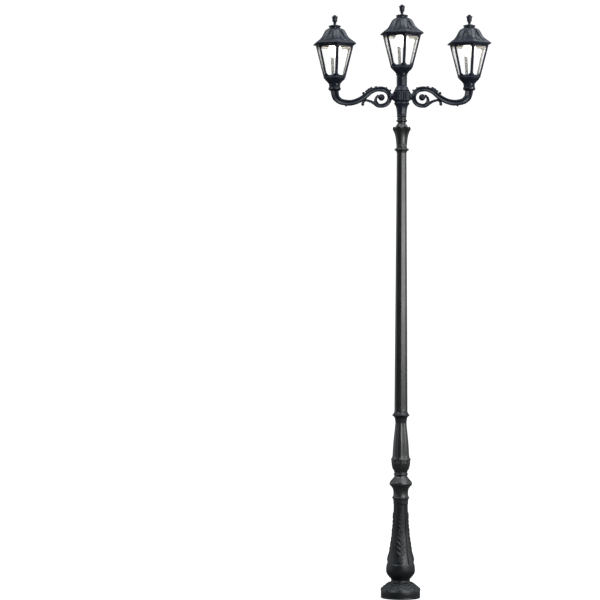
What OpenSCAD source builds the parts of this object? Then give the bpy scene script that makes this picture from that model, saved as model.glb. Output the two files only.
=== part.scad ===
// Outdoor post light: a cast column on a foot, and three hexagonal lanterns on its head.
// Millimetres, +Z up. The origin is the middle of the foot, on the ground. The front faces -Y.

/* [Ground plate and core tube] */
// Radius of the round plate that is bolted to the ground
plate_r = 116; // [112:1:118]
// Thickness of the ground plate
plate_t = 10; // [8:1:14]
// Diameter of the circle through the anchor bolt holes
anchor_circle = 190; // [180:1:196]
// Diameter of an anchor bolt hole
anchor_d = 14; // [10:1:16]
// Radius of the cable inlet in the ground plate
inlet_r = 20; // [14:0.5:20.5]
// Outer radius of the steel core tube
tube_r = 24.15; // [22:0.05:24.5]
// Wall of the core tube
tube_wall = 3; // [2:0.1:3.5]

/* [Foot and bell] */
// Height of the foot casting
foot_h = 120; // [110:1:160]
// Radius of the foot on the ground
foot_r = 126.7; // [123:0.1:140]
// Height of the straight edge of the foot
foot_edge_h = 46; // [40:1:60]
// Radius of the waist between the foot and the bell
waist_r = 62.4; // [56:0.1:70]
// Height of the bell casting
bell_h = 518; // [480:1:600]
// Largest radius of the bell
bell_r = 95.7; // [90:0.1:104]
// Radius of the bell at its top
bell_neck_r = 48.8; // [46:0.1:54]
// Wall of the castings
cast_wall = 7; // [6.5:0.1:8]

/* [Service cover] */
// Half of the angle that the service cover takes round the bell
cover_half_angle = 33.5; // [28:0.5:36]
// Height of the lower edge of the cover above the bottom of the bell
cover_low = 96; // [90:1:104]
// Height of the service cover
cover_h = 334; // [300:1:350]
// Thickness of the service cover
cover_t = 4; // [3:0.1:4.3]
// Gap round the edges of the service cover
cover_gap = 0.8; // [0.5:0.1:1.2]
// Radius of a cover screw head
cover_screw_r = 4.5; // [3.5:0.1:5]
// Height of the terminal box
box_h = 90; // [60:1:95]
// Width of the terminal box
box_w = 56; // [40:1:60]
// Depth of the terminal box
box_d = 28; // [20:1:29]

/* [Column] */
// Height of the knop casting above the bell
knop_h = 190; // [170:1:220]
// Radius of the lower ring of the knop casting
knop_ring_r = 57; // [54:0.1:62]
// Radius of the knop
knop_r = 75; // [70:0.1:80]
// Height of the baluster
baluster_h = 350; // [320:1:400]
// Largest radius of the baluster
baluster_r = 58.7; // [54:0.1:64]
// Height of the ring under the shaft
ring_h = 46; // [40:1:56]
// Radius of the ring under the shaft
ring_r = 58; // [54:0.1:62]
// Height of the eight sided shaft
shaft_h = 1708; // [1200:1:2000]
// Corner radius of the shaft at its bottom
shaft_low_r = 43.4; // [40:0.1:46]
// Corner radius of the shaft at its top
shaft_top_r = 32.2; // [31.5:0.1:36]
// Radius of the bore of the shaft
shaft_bore_r = 27; // [26.2:0.1:27.8]
// Height of a centring bush
bush_h = 30; // [20:1:60]
// Height of the capital
capital_h = 236; // [220:1:260]
// Radius of the ring of the capital
capital_ring_r = 48; // [44:0.1:54]
// Corner radius of the capital
capital_r = 61.6; // [56:0.1:66]

/* [Head] */
// Height of the stem between the capital and the hub
stem_h = 99; // [90:1:120]
// Radius of the band at the bottom of the stem
stem_r = 31; // [30:0.1:34]
// Radius of the ring under the hub
stem_ring_r = 51; // [46:0.1:54]
// Height of the hub
hub_h = 88; // [84:1:104]
// Radius of the hub
hub_r = 55.9; // [53:0.1:62]
// Height of the stem above the hub
top_h = 85; // [70:1:110]
// Radius of the stem above the hub
top_r = 33; // [32:0.1:35.5]
// Distance of a side lantern from the column axis
arm_reach = 443; // [400:1:520]
// How far the side lanterns sit below the centre one
side_drop = 68; // [56:1:80]
// Radius of the middle line of the scroll of an arm
scroll_r = 55; // [50:0.5:60]
// Radius of the arm at its middle
arm_r = 19; // [16:0.5:20]
// Radius of the ball in the scroll
eye_r = 22; // [18:0.5:24]
// Radius of the cable way in an arm
duct_r = 6; // [4:0.5:7]
// Radius of the collar under a side lantern
collar_r = 41; // [38:0.5:44]
// Radius of the spigot that a lantern slips over
spigot_r = 30; // [27:0.1:30.5]
// Height of the spigot
spigot_h = 40; // [30:1:41]

/* [Lantern] */
// Radius of the sleeve of the cup
sleeve_r = 36; // [35.2:0.1:38]
// Depth of the sleeve over the spigot
sleeve_depth = 42; // [41.5:0.1:46]
// Height of the sill, where the cage stands on the cup
sill_z = 57; // [54:0.5:64]
// Corner radius of the sill
sill_r = 78; // [74:0.5:82]
// Height of the top rail of the cage
rail_z = 270; // [240:1:300]
// Corner radius of the cage at its top rail
rail_r = 135; // [130:0.5:138]
// Thickness of the bars of the cage
bar_t = 6; // [5:0.1:7]
// Width of a corner bar on each side of the corner
bar_w = 11; // [9:0.5:13]
// Height of the lower rail of the cage
low_rail_h = 13; // [10:0.5:18]
// Height of the upper rail of the cage
up_rail_h = 14; // [9:0.5:16]
// Radius of the bosses in the corners of a pane opening
gusset_r = 9; // [5:0.5:11]
// Thickness of a pane
pane_t = 3; // [2:0.1:4]
// Thickness of the gasket on the top rail
gasket_t = 2.7; // [2:0.1:4]

/* [Roof] */
// Corner radius of the eave
eave_r = 150; // [148:0.5:160]
// Height of the edge of the eave
eave_h = 7; // [5:0.5:9]
// Height of the roof from the eave to the cap
roof_h = 107; // [95:1:130]
// Corner radius of the roof under the cap
roof_top_r = 47; // [45:0.5:52]
// Wall of the roof
roof_wall = 6; // [4:0.5:7]
// Radius of the cap
cap_r = 36; // [34:0.5:38]
// Radius of the rim of the cap
cap_rim_r = 40.5; // [39:0.5:44]
// Height of the cap
cap_h = 25; // [23:0.5:30]
// Height of the finial
finial_h = 65; // [55:1:80]
// Radius of the petal tips of the finial
finial_r = 21.5; // [19:0.5:24]
// Radius of a hinge pin of the roof
pin_r = 2.5; // [2:0.1:3]

/* [Lamp] */
// Radius of the globe lamp
globe_r = 47.5; // [40:0.5:50]
// Wall of the globe lamp
globe_wall = 1.5; // [1:0.1:3]
// Radius of the metal cap of the lamp
lamp_cap_r = 13.2; // [12:0.1:13.5]
// Length of the metal cap of the lamp
lamp_cap_h = 27; // [24:0.5:28]
// Outer radius of the lampholder
holder_r = 21; // [19:0.5:22]
// Height of the lampholder
holder_h = 49; // [45:1:52]

/* [Fits] */
// Gap between pieces that slip over each other
fit = 0.3; // [0.2:0.05:0.4]
// Gap round a screw in its hole
screw_fit = 0.3; // [0.2:0.05:0.4]

/* [Hidden] */
$fn = 48;
LANTERNS = [["left", -1], ["centre", 0], ["right", 1]];

// Finishes
black_coat = [0.09, 0.09, 0.10];
shaft_coat = [0.16, 0.17, 0.17];
steel = [0.62, 0.63, 0.65];
white_enamel = [0.93, 0.92, 0.88];
rubber_black = [0.05, 0.05, 0.05];

// Levels of the stack, from the ground up
bell_z = foot_h;
knop_z = bell_z + bell_h;
baluster_z = knop_z + knop_h;
ring_z = baluster_z + baluster_h;
shaft_z = ring_z + ring_h;
capital_z = shaft_z + shaft_h;
stem_z = capital_z + capital_h;
hub_z = stem_z + stem_h;
top_z0 = hub_z + hub_h;
top_z = top_z0 + top_h;
side_z = top_z - side_drop;
tube_top_z = top_z - 10;
bore_r = tube_r + fit;
seat_h = 12;

// Bell and its window
cover_z = bell_z + cover_low;
lip_w = 14;
lip_angle = 7;
cover_screw_angle = cover_half_angle - 4;
cover_screw_up = 8;
cover_shank_r = 2.2;
cover_head_h = 3;
cover_head_sink = 1.1;
cover_screw_a = bell_r - 3;
box_z = cover_z + 25;
box_y = tube_r + fit;
tube_window_h = 55;
tube_window_w = 22;

// Arms: the root on the hub, the middle of the scroll and the collar under the lantern
arm_root_up = 35;
arm_z = hub_z + arm_root_up;
root_r = 26;
hub_face = hub_r + 2.1;
scroll_x = hub_face + scroll_r + 21;
scroll_z = arm_z - 5;
collar_h = 34;
collar_room_r = 14;
root_h = 24;

// Lantern: corners lie at 0, 60 ... degrees in its own frame, faces between them
lantern_turn = -80;
hinge_angle = 210;
lock_angle = 30;
cup_rim_t = 6;
cup_flare_r = 66;
band_h = 14;
cable_r = 8;
sleeve_screw_z = 9;
sill_a = sill_r * cos(30);
rail_a = rail_r * cos(30);
lean = atan((rail_a - sill_a) / (rail_z - sill_z));
face_h = (rail_z - sill_z) / cos(lean);
pane_lap = 6;
pane_top_lap = 2;
pane_side = 6;
eave_z = rail_z + gasket_t + fit;
flange_in_r = rail_r - 9;
flange_t = 4;
roof_top_z = eave_z + roof_h;
upstand_r = cap_r - 4;
upstand_h = 9;
pin_a = rail_a + 6.1;
pin_z = rail_z - 4;
knuckle_r = pin_r + 2.8;
roof_lug_w = 38;
cage_lug_w = 10;
lug_gap = 0.5;
lock_a = rail_a - 5.4;
lock_r = 2.5;
lock_pad_r = 6.5;
lock_pad_h = 5.5;
lock_head_r = 7;
lock_boss_r = lock_head_r + 1.5;
lock_seat_z = eave_z + 22;
cap_screw_r = 2.2;
cap_screw_up = 5;
tray_t = 2;
tray_up = 19;
tray_mid_r = 50;
tray_hole_r = holder_r + 1;
holder_flange_r = holder_r + 4;
holder_z = eave_z + tray_up + tray_t + 1.3;
holder_bore_r = lamp_cap_r + 0.6;
boss_z = holder_z + holder_h;
lamp_cap_z = holder_z + 3;
lamp_neck_r = lamp_cap_r + 1.5;
globe_neck = 16.5;
globe_z = lamp_cap_z - globe_neck - globe_r;
contact_r = 4.5;
contact_h = 3;

// Smooth curve through points, with the given number of steps between neighbours
function curve_at(a, b, c, d, t) =
    (2 * b + (c - a) * t + (2 * a - 5 * b + 4 * c - d) * t * t
    + (3 * b - a - 3 * c + d) * t * t * t) / 2;
function curve(p, steps) = [
    for (i = [0 : len(p) - 2], s = [0 : steps - 1])
        curve_at(p[max(i - 1, 0)], p[i], p[i + 1], p[min(i + 2, len(p) - 1)], s / steps),
    p[len(p) - 1]
];
function reversed(list) = [for (i = [len(list) - 1 : -1 : 0]) list[i]];
function inset(list, t) = [for (p = list) [p[0] - t, p[1]]];

// A profile of [share of the swell, share of the height] becomes radii and heights
function profile(form, r0, r1, z0, h) = [for (p = form) [r0 + (r1 - r0) * p[0], z0 + h * p[1]]];

// Inside of a hollow casting that sits on the tube at both ends
function hollow(outer, z0, z1, bore, wall) = concat(
    [[bore, z0], [bore, z0 + seat_h]],
    [for (p = outer) if (p[1] > z0 + seat_h + 1 && p[1] < z1 - seat_h - 1)
        [max(p[0] - wall, bore), p[1]]],
    [[bore, z1 - seat_h], [bore, z1]]
);
module turned(outer, inner) rotate_extrude() polygon(concat(outer, reversed(inner)));

// Solid with flat sides whose corner radius follows a profile, from the bottom up
module sided(outline, sides) {
    rows = len(outline);
    polyhedron(
        points = [for (p = outline, k = [0 : sides - 1])
            [p[0] * cos(360 * k / sides), p[0] * sin(360 * k / sides), p[1]]],
        faces = concat(
            [[for (k = [0 : sides - 1]) k]],
            [for (i = [0 : rows - 2], k = [0 : sides - 1])
                [i * sides + k, (i + 1) * sides + k, (i + 1) * sides + (k + 1) % sides]],
            [for (i = [0 : rows - 2], k = [0 : sides - 1])
                [i * sides + k, (i + 1) * sides + (k + 1) % sides, i * sides + (k + 1) % sides]],
            [[for (k = [sides - 1 : -1 : 0]) (rows - 1) * sides + k]]
        )
    );
}

// Round bar of changing radius along [x, z, radius] points in the XZ plane
module bar_along(path, sides, squash) {
    rows = len(path);
    dirs = [for (i = [0 : rows - 1])
        let (d = path[min(i + 1, rows - 1)] - path[max(i - 1, 0)], l = norm([d[0], d[1]]))
            [d[0] / l, d[1] / l]];
    polyhedron(
        points = [for (i = [0 : rows - 1], k = [0 : sides - 1])
            let (across = path[i][2] * cos(360 * k / sides), deep = path[i][2] * sin(360 * k / sides))
                [path[i][0] + dirs[i][1] * across, deep * squash, path[i][1] - dirs[i][0] * across]],
        faces = concat(
            [[for (k = [0 : sides - 1]) k]],
            [for (i = [0 : rows - 2], k = [0 : sides - 1])
                [i * sides + k, (i + 1) * sides + k, (i + 1) * sides + (k + 1) % sides]],
            [for (i = [0 : rows - 2], k = [0 : sides - 1])
                [i * sides + k, (i + 1) * sides + (k + 1) % sides, i * sides + (k + 1) % sides]],
            [[for (k = [sides - 1 : -1 : 0]) (rows - 1) * sides + k]]
        )
    );
}

// Ground plate and tube
module base_plate() color(steel) difference() {
    cylinder(r = plate_r, h = plate_t);
    translate([0, 0, -1]) cylinder(r = inlet_r, h = plate_t + 2);
    for (k = [0 : 3]) rotate([0, 0, 45 + 90 * k]) translate([anchor_circle / 2, 0, -1])
        cylinder(d = anchor_d, h = plate_t + 2);
}
module core_tube() color(steel) difference() {
    translate([0, 0, plate_t]) cylinder(r = tube_r, h = tube_top_z - plate_t);
    translate([0, 0, plate_t - 1]) cylinder(r = tube_r - tube_wall, h = tube_top_z - plate_t + 2);
    translate([-tube_window_w / 2, -tube_r - 1, box_z + box_h + 10])
        cube([tube_window_w, tube_r, tube_window_h]);
    translate([-tube_r - 1, 0, arm_z - 5]) rotate([0, 90, 0]) cylinder(r = duct_r, h = 2 * tube_r + 2);
}

// Foot: a straight edge, then a dome that draws in to the waist
foot_form = [[1, 0], [0.98, 0.12], [0.86, 0.27], [0.48, 0.54], [0.1, 0.78], [0, 0.88], [0, 1]];
module foot_cover() color(black_coat) {
    dome = curve(profile(foot_form, waist_r, foot_r, foot_edge_h, foot_h - foot_edge_h), 3);
    shell = [for (p = inset(dome, cast_wall)) if (p[1] < foot_h - seat_h - 1 && p[1] > foot_edge_h) p];
    turned(
        concat([[foot_r - 3, 0], [foot_r, 3]], dome),
        concat(
            [[plate_r + fit, 0], [plate_r + fit, plate_t], [plate_r - cast_wall, plate_t]],
            [[plate_r - cast_wall, foot_edge_h - 4]],
            [for (p = shell) [min(p[0], plate_r - cast_wall), p[1] - 4]],
            [[bore_r, foot_h - seat_h], [bore_r, foot_h]]
        )
    );
}

// Bell: swells out above the waist and draws in to its neck
bell_form = [[0.28, 0], [0.34, 0.012], [0.7, 0.048], [0.95, 0.087], [1, 0.125], [0.91, 0.2],
    [0.65, 0.317], [0.39, 0.469], [0.16, 0.622], [0.03, 0.851], [0, 1]];
function bell_outer() = curve(profile(bell_form, bell_neck_r, bell_r, bell_z, bell_h), 3);
module sector(half_angle, z0, h, r) {
    translate([0, 0, z0]) linear_extrude(h) polygon([
        [0, 0],
        [-r * sin(half_angle), -r * cos(half_angle)],
        [-r * sin(half_angle / 2), -r],
        [r * sin(half_angle / 2), -r],
        [r * sin(half_angle), -r * cos(half_angle)]
    ]);
}
module bell_ring(t_out, t_in) turned(inset(bell_outer(), t_out), inset(bell_outer(), t_in));
module base_body() color(black_coat) difference() {
    outer = bell_outer();
    turned(outer, hollow(outer, bell_z, bell_z + bell_h, bore_r, cast_wall));
    intersection() {
        sector(cover_half_angle, cover_z, cover_h, 2 * bell_r);
        bell_ring(-5, cover_t + fit);
    }
    sector(cover_half_angle - lip_angle, cover_z + lip_w, cover_h - 2 * lip_w, 2 * bell_r);
    cover_screw_places() cylinder(r = cover_shank_r + screw_fit, h = 4 * cast_wall, center = true);
}
module cover_screw_places() {
    for (s = [-1, 1]) rotate([0, 0, s * cover_screw_angle])
        translate([0, -cover_screw_a, cover_z + cover_screw_up]) rotate([90, 0, 0]) children();
}
module service_cover() color(black_coat) difference() {
    intersection() {
        sector(cover_half_angle - 0.5 * cover_gap, cover_z + cover_gap, cover_h - 2 * cover_gap,
            2 * bell_r);
        bell_ring(0, cover_t);
    }
    cover_screw_places() cylinder(r = cover_shank_r + screw_fit, h = 4 * cast_wall, center = true);
    cover_screw_places() translate([0, 0, -cover_head_sink - fit])
        cylinder(r = cover_screw_r + screw_fit, h = 2 * cast_wall);
}
module cover_screws() color(steel) cover_screw_places() {
    translate([0, 0, -cover_head_sink]) difference() {
        cylinder(r = cover_screw_r, h = cover_head_h);
        translate([0, 0, cover_head_h / 3]) cylinder(r = cover_screw_r / 2, h = cover_head_h, $fn = 6);
    }
    translate([0, 0, -cast_wall]) cylinder(r = cover_shank_r, h = cast_wall - cover_head_sink + 0.1);
}
module terminal_box() color([0.2, 0.2, 0.21]) difference() {
    translate([-box_w / 2, -box_y - box_d, box_z]) cube([box_w, box_d, box_h]);
    translate([-box_w / 2 + 2, -box_y - box_d - 1, box_z + 2]) cube([box_w - 4, box_d - 9, box_h - 4]);
    translate([0, -box_y - 5, box_z + box_h - 3]) cylinder(r = 6, h = 6);
}

// Knop casting: a ring, a waist and the sharp knop
knop_form = [[0, 0], [0.26, 0.03], [0.31, 0.08], [1, 0.115], [0.31, 0.15], [0.12, 0.2], [0, 0.26]];
module lower_collar() color(black_coat) {
    ring = profile(knop_form, bell_neck_r, knop_ring_r, knop_z, knop_h);
    bulge = curve([
        [bell_neck_r, knop_z + 0.32 * knop_h], [bell_neck_r + 4, knop_z + 0.43 * knop_h],
        [knop_r - 6, knop_z + 0.53 * knop_h], [knop_r, knop_z + 0.6 * knop_h],
        [knop_r - 3, knop_z + 0.665 * knop_h], [knop_r - 17, knop_z + 0.74 * knop_h],
        [bell_neck_r - 4.6, knop_z + 0.84 * knop_h], [bell_neck_r - 5.6, knop_z + 0.92 * knop_h],
        [bell_neck_r - 3.6, knop_z + 0.95 * knop_h], [bell_neck_r - 5.8, knop_z + knop_h]
    ], 2);
    outer = concat(ring, bulge);
    turned(outer, hollow(outer, knop_z, knop_z + knop_h, bore_r, cast_wall));
}

// Baluster: swells out over the knop and tapers up to the ring
baluster_form = [[0.15, 0], [0.25, 0.03], [0.7, 0.08], [0.96, 0.16], [1, 0.25], [0.85, 0.31],
    [0.73, 0.43], [0.57, 0.57], [0.3, 0.73], [0.04, 0.88], [0, 0.94], [0.14, 1]];
module baluster() color(black_coat) {
    outer = curve(profile(baluster_form, baluster_r - 21.3, baluster_r, baluster_z, baluster_h), 2);
    turned(outer, hollow(outer, baluster_z, baluster_z + baluster_h, bore_r, cast_wall));
}
function half_round(r0, r1, z0, h) = [
    for (a = [0 : 15 : 180]) [r0 + (r1 - r0) * sin(a), z0 + h * (1 - cos(a)) / 2]
];
module shaft_ring() color(black_coat) turned(
    concat(
        [[shaft_low_r - 4, ring_z]],
        half_round(shaft_low_r + 3, ring_r, ring_z + 4, ring_h - 8),
        [[shaft_low_r + 1, shaft_z]]
    ),
    [[bore_r, ring_z], [bore_r, shaft_z]]
);
module shaft() color(shaft_coat) difference() {
    rotate([0, 0, -90]) sided([[shaft_low_r, shaft_z], [shaft_top_r, capital_z]], 8);
    translate([0, 0, shaft_z - 1]) cylinder(r = shaft_bore_r, h = shaft_h + 2);
}
module centring_bushes() color(steel) for (z = [shaft_z + 4, shaft_z + shaft_h / 2, capital_z - bush_h - 4])
    translate([0, 0, z]) difference() {
        cylinder(r = shaft_bore_r - fit, h = bush_h);
        translate([0, 0, -1]) cylinder(r = bore_r, h = bush_h + 2);
    }

// Capital: a ring, then an eight sided tulip with a small disc on top
capital_ring_h = 41;
capital_band_h = 18;
capital_disc_h = 14;
tulip_form = [[0, 0], [0.02, 0.2], [0.12, 0.45], [0.33, 0.62], [0.6, 0.72], [1, 0.785], [1, 0.83],
    [0.62, 0.9], [-0.17, 0.97]];
module capital() color(shaft_coat) {
    tulip_h = capital_h - capital_ring_h - capital_band_h - capital_disc_h;
    tulip_z = capital_z + capital_ring_h;
    band_z = stem_z - capital_band_h;
    difference() {
        union() {
            rotate_extrude() polygon(concat(
                [[0, capital_z], [shaft_top_r, capital_z]],
                half_round(shaft_top_r + 2, capital_ring_r, capital_z + 2, capital_ring_h - 4),
                [[shaft_top_r + 2, tulip_z], [shaft_top_r - 1, tulip_z]],
                [[shaft_top_r - 1, tulip_z + 2], [0, tulip_z + 2]]
            ));
            rotate([0, 0, -90]) sided(
                profile(tulip_form, shaft_top_r + 2.5, capital_r, tulip_z, tulip_h), 8);
            translate([0, 0, tulip_z + tulip_h - 6]) cylinder(r = stem_r - 3.4, h = 10);
            translate([0, 0, band_z - capital_disc_h]) cylinder(r = stem_r + 4.7, h = capital_disc_h);
            translate([0, 0, band_z]) cylinder(r = stem_r - 1, h = capital_band_h);
        }
        translate([0, 0, capital_z - 1]) cylinder(r = bore_r, h = capital_h + 2);
    }
}

// Head: stem, hub and the stem of the centre lantern
stem_form = [[0, 0], [0, 0.13], [0.1, 0.3], [0.19, 0.5], [0.45, 0.72], [0.9, 0.85], [1, 0.93], [0.85, 1]];
module head_stem() color(black_coat) difference() {
    outer = profile(stem_form, stem_r, stem_ring_r, stem_z, stem_h);
    turned(outer, [[bore_r, stem_z], [bore_r, hub_z]]);
    stem_screw_places() cylinder(r = 2.5 + screw_fit, h = 30);
}
module stem_screw_places() for (a = [-60, 60, 180]) rotate([0, 0, a])
    translate([0, -tube_r, stem_z + 7]) rotate([90, 0, 0]) children();
hub_form = [[-0.7, 0], [0, 0.07], [0, 0.81], [-0.7, 0.87], [-1.2, 1]];
module hub() color(black_coat) difference() {
    union() {
        rotate_extrude() polygon(concat(
            [[0, hub_z]], profile(hub_form, hub_r, hub_r + 10, hub_z, hub_h), [[0, hub_z + hub_h]]));
        translate([-hub_face, 0, arm_z]) rotate([0, 90, 0]) cylinder(r = root_r, h = 2 * hub_face);
    }
    translate([0, 0, hub_z - 1]) cylinder(r = bore_r, h = hub_h + 2);
    translate([-hub_face - 1, 0, scroll_z]) rotate([0, 90, 0])
        cylinder(r = duct_r, h = 2 * hub_face + 2);
}
module top_stem() color(black_coat) difference() {
    rotate_extrude() polygon(concat(
        [[0, top_z0]],
        curve([[top_r + 9, top_z0], [top_r + 2, top_z0 + 14], [top_r, top_z0 + 30], [top_r, top_z - 10],
            [top_r + 1.5, top_z - 3], [top_r + 1.5, top_z]], 3),
        [[spigot_r, top_z], [spigot_r, top_z + spigot_h], [0, top_z + spigot_h]]
    ));
    translate([0, 0, top_z0 - 1]) cylinder(r = bore_r, h = tube_top_z - top_z0 + 1.5);
    cylinder(r = tube_r - tube_wall, h = top_z + 2 * spigot_h);
}

// Arm: down from the lantern, along, up over the scroll and round into its ball
function from_collar(p) = [arm_reach + p[0], side_z + p[1], arm_r * p[2]];
function from_scroll(p) = [scroll_x + scroll_r * p[0], scroll_z + scroll_r * p[1], arm_r * p[2]];
elbow_points = [[0, -24, 1.5], [-2, -47, 1.44], [-9, -73, 1.36], [-23, -89, 1.25], [-40, -101, 1.13],
    [-70, -108, 1.07], [-101, -110, 1.05], [-133, -104, 1.02], [-165, -91, 1]];
rise_points = [[1.93, 0.16, 0.95], [1.27, 0.71, 0.92], [0.56, 0.98, 0.85]];
curl_points = [[0.35, -0.93, 0.7], [0.62, -0.64, 0.66], [0.7, -0.3, 0.56], [0.57, 0.03, 0.48],
    [0.3, 0.25, 0.45]];
loop_points = [for (a = [90 : 30 : 270]) [cos(a), sin(a), 0.85 - 0.2 * (a - 90) / 180]];
function scroll_part(list) = [for (p = list) from_scroll(p)];
arm_front = concat([for (p = elbow_points) from_collar(p)], scroll_part(rise_points));
arm_path = concat(arm_front, scroll_part(loop_points), scroll_part(curl_points));
branch_points = [[0.2, -1.08, 0.5], [0.5, -1, 0.56], [0.8, -0.83, 0.5], [1.2, -0.62, 0.36],
    [1.57, -0.44, 0.28], [1.94, -0.36, 0.36], [2.18, -0.55, 0.5], [2.3, -0.8, 0.42]];
// Small balls of an arm: four by the scroll, the second at the end of the branch, and one under the elbow
nubs = [[2.15, 0.51, 0.5], [2.3, -0.85, 0.5], [-1.07, 0.85, 0.37], [-0.6, 1.16, 0.3]];
elbow_nub = [-76, -129, 0.37];
collar_form = [[0.6585, -1], [0.951, -0.765], [1, -0.588], [1, -0.412], [0.902, -0.265], [0.902, 0]];
module arm_ball(p) translate([p[0], 0, p[1]]) sphere(r = p[2], $fn = 14);
module arm() {
    duct_way = concat(arm_front, scroll_part([for (i = [0 : 3]) loop_points[i]]));
    duct = [for (p = duct_way) [p[0], p[1], duct_r]];
    difference() {
        union() {
            bar_along(curve(arm_path, 2), 12, 0.85);
            bar_along(curve(scroll_part(branch_points), 2), 8, 1);
            translate([scroll_x, 0, scroll_z]) sphere(r = eye_r, $fn = 20);
            for (p = scroll_part(nubs)) arm_ball(p);
            arm_ball(from_collar(elbow_nub));
            translate([hub_face, 0, arm_z]) rotate([0, 90, 0]) cylinder(r = root_r, h = root_h);
            translate([arm_reach, 0, side_z]) rotate_extrude() polygon(concat(
                [[0, -collar_h]], profile(collar_form, 0, collar_r, 0, collar_h),
                [[spigot_r, 0], [spigot_r, spigot_h], [0, spigot_h]]
            ));
        }
        bar_along(curve(duct, 2), 6, 1);
        translate([arm_reach, 0, side_z - collar_h + 4])
            cylinder(r = collar_room_r, h = spigot_h + collar_h);
        translate([hub_face - 1, 0, scroll_z]) rotate([0, 90, 0]) cylinder(r = duct_r, h = root_h);
        collar_screw_place() cylinder(r = 3 + screw_fit, h = 30);
    }
}
module collar_screw_place() translate([arm_reach, 0, side_z - 17]) rotate([0, 0, 28])
    translate([0, -spigot_r - 2, 0]) rotate([90, 0, 0]) children();
module arm_right() color(black_coat) arm();
module arm_left() color(black_coat) mirror([1, 0, 0]) arm();

// Socket headed screw along +Z, its head above the seat
module socket_screw(r, head_r, head_h, length) {
    difference() {
        cylinder(r = head_r, h = head_h);
        translate([0, 0, head_h / 2]) cylinder(r = head_r / 2, h = head_h, $fn = 6);
    }
    translate([0, 0, -length]) cylinder(r = r, h = length);
}
module fixing_screws() color(steel) {
    stem_screw_places() translate([0, 0, stem_r - tube_r]) socket_screw(2.5, 4, 2.5, stem_r - tube_r - fit);
    for (s = [0, 1]) mirror([s, 0, 0]) collar_screw_place()
        translate([0, 0, collar_r - spigot_r - 2]) socket_screw(3, 4.5, 2.5, 8);
}

// Lantern frame: children are drawn for a lantern that stands on the origin
module at_lantern(side) translate([side * arm_reach, 0, side == 0 ? top_z : side_z])
    rotate([0, 0, lantern_turn]) children();
module sleeve_screw_places() for (k = [0 : 2]) rotate([0, 0, 120 * k + 15])
    translate([spigot_r, 0, sleeve_screw_z]) rotate([0, 90, 0]) children();
module sleeve_screws() color(steel) for (l = LANTERNS) at_lantern(l[1]) sleeve_screw_places()
    translate([0, 0, sleeve_r - spigot_r]) socket_screw(2.5, 4, 2, sleeve_r - spigot_r - fit);
module cup(side) color(black_coat) at_lantern(side) difference() {
    union() {
        rotate_extrude() polygon(concat(
            [[0, 0], [sleeve_r - 1.5, 0], [sleeve_r, 1.5], [sleeve_r, band_h]],
            [for (t = [0 : 0.125 : 1]) [
                sleeve_r + 1 + (cup_flare_r - sleeve_r - 1) * pow(t, 1.5),
                band_h + 1 + (sill_z - cup_rim_t - band_h - 1) * t
            ]],
            [[cup_flare_r, sill_z], [0, sill_z]]
        ));
        translate([0, 0, sill_z - cup_rim_t]) cylinder(r = sill_r, h = cup_rim_t, $fn = 6);
    }
    translate([0, 0, -1]) cylinder(r = spigot_r + fit, h = sleeve_depth + 1);
    cylinder(r = cable_r, h = sill_z + 1);
    sleeve_screw_places() cylinder(r = 2.5 + screw_fit, h = 12);
}

// A face of the cage: x runs along it, y up its slope, z outwards
module on_face(k) rotate([0, 0, 30 + 60 * k]) translate([sill_a, 0, sill_z])
    rotate([0, lean, 0]) rotate([90, 0, 90]) children();
function cage_in_r(z) = sill_r + (rail_r - sill_r) * (z - sill_z) / (rail_z - sill_z)
    - bar_t / (cos(lean) * cos(30));
function face_half(y) = (sill_r + (rail_r - sill_r) * y / face_h) / 2;
module face_plate(y0, y1, side) polygon([
    [-face_half(y0) + side, y0], [face_half(y0) - side, y0],
    [face_half(y1) - side, y1], [-face_half(y1) + side, y1]
]);
module pane_opening() difference() {
    y0 = low_rail_h;
    y1 = face_h - up_rail_h;
    face_plate(y0, y1, bar_w);
    for (s = [-1, 1], y = [y0, y1]) translate([s * (face_half(y) - bar_w), y]) circle(r = gusset_r);
}
module cage(side) color(black_coat) at_lantern(side) difference() {
    union() {
        difference() {
            sided([[sill_r, sill_z], [rail_r, rail_z]], 6);
            sided([[cage_in_r(sill_z - 5), sill_z - 5], [cage_in_r(rail_z + 5), rail_z + 5]], 6);
            for (k = [0 : 5]) on_face(k) translate([0, 0, -2 * bar_t]) linear_extrude(4 * bar_t)
                pane_opening();
        }
        rotate([0, 0, lock_angle]) translate([lock_a - 1, 0, rail_z - lock_pad_h])
            cylinder(r = lock_pad_r, h = lock_pad_h);
        for (s = [-1, 1]) on_hinge() translate([0, s * (roof_lug_w + cage_lug_w + 2 * lug_gap) / 2, 0])
            rotate([90, 0, 0]) {
                cylinder(r = knuckle_r, h = cage_lug_w, center = true);
                translate([-pin_a + rail_a - 4, -knuckle_r, -cage_lug_w / 2])
                    cube([pin_a - rail_a + 4, knuckle_r, cage_lug_w]);
            }
    }
    on_hinge() rotate([90, 0, 0]) cylinder(r = pin_r + 0.2, h = 2 * roof_lug_w, center = true);
    rotate([0, 0, lock_angle]) translate([lock_a, 0, rail_z - 10]) cylinder(r = lock_r + 0.5, h = 20);
}
module on_hinge() rotate([0, 0, hinge_angle]) translate([pin_a, 0, pin_z]) children();
module panes(side) color([0.8, 0.88, 0.9, 0.35]) at_lantern(side) for (k = [0 : 5])
    on_face(k) translate([0, 0, -bar_t - fit - pane_t]) linear_extrude(pane_t)
        face_plate(low_rail_h - pane_lap, face_h - up_rail_h + pane_top_lap, pane_side);
module gasket(side) color(rubber_black) at_lantern(side) translate([0, 0, rail_z]) linear_extrude(gasket_t)
    difference() {
        circle(r = rail_r - 1, $fn = 6);
        circle(r = rail_r - 6, $fn = 6);
        rotate(lock_angle) translate([lock_a, 0]) circle(r = lock_r + 0.5);
    }
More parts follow.
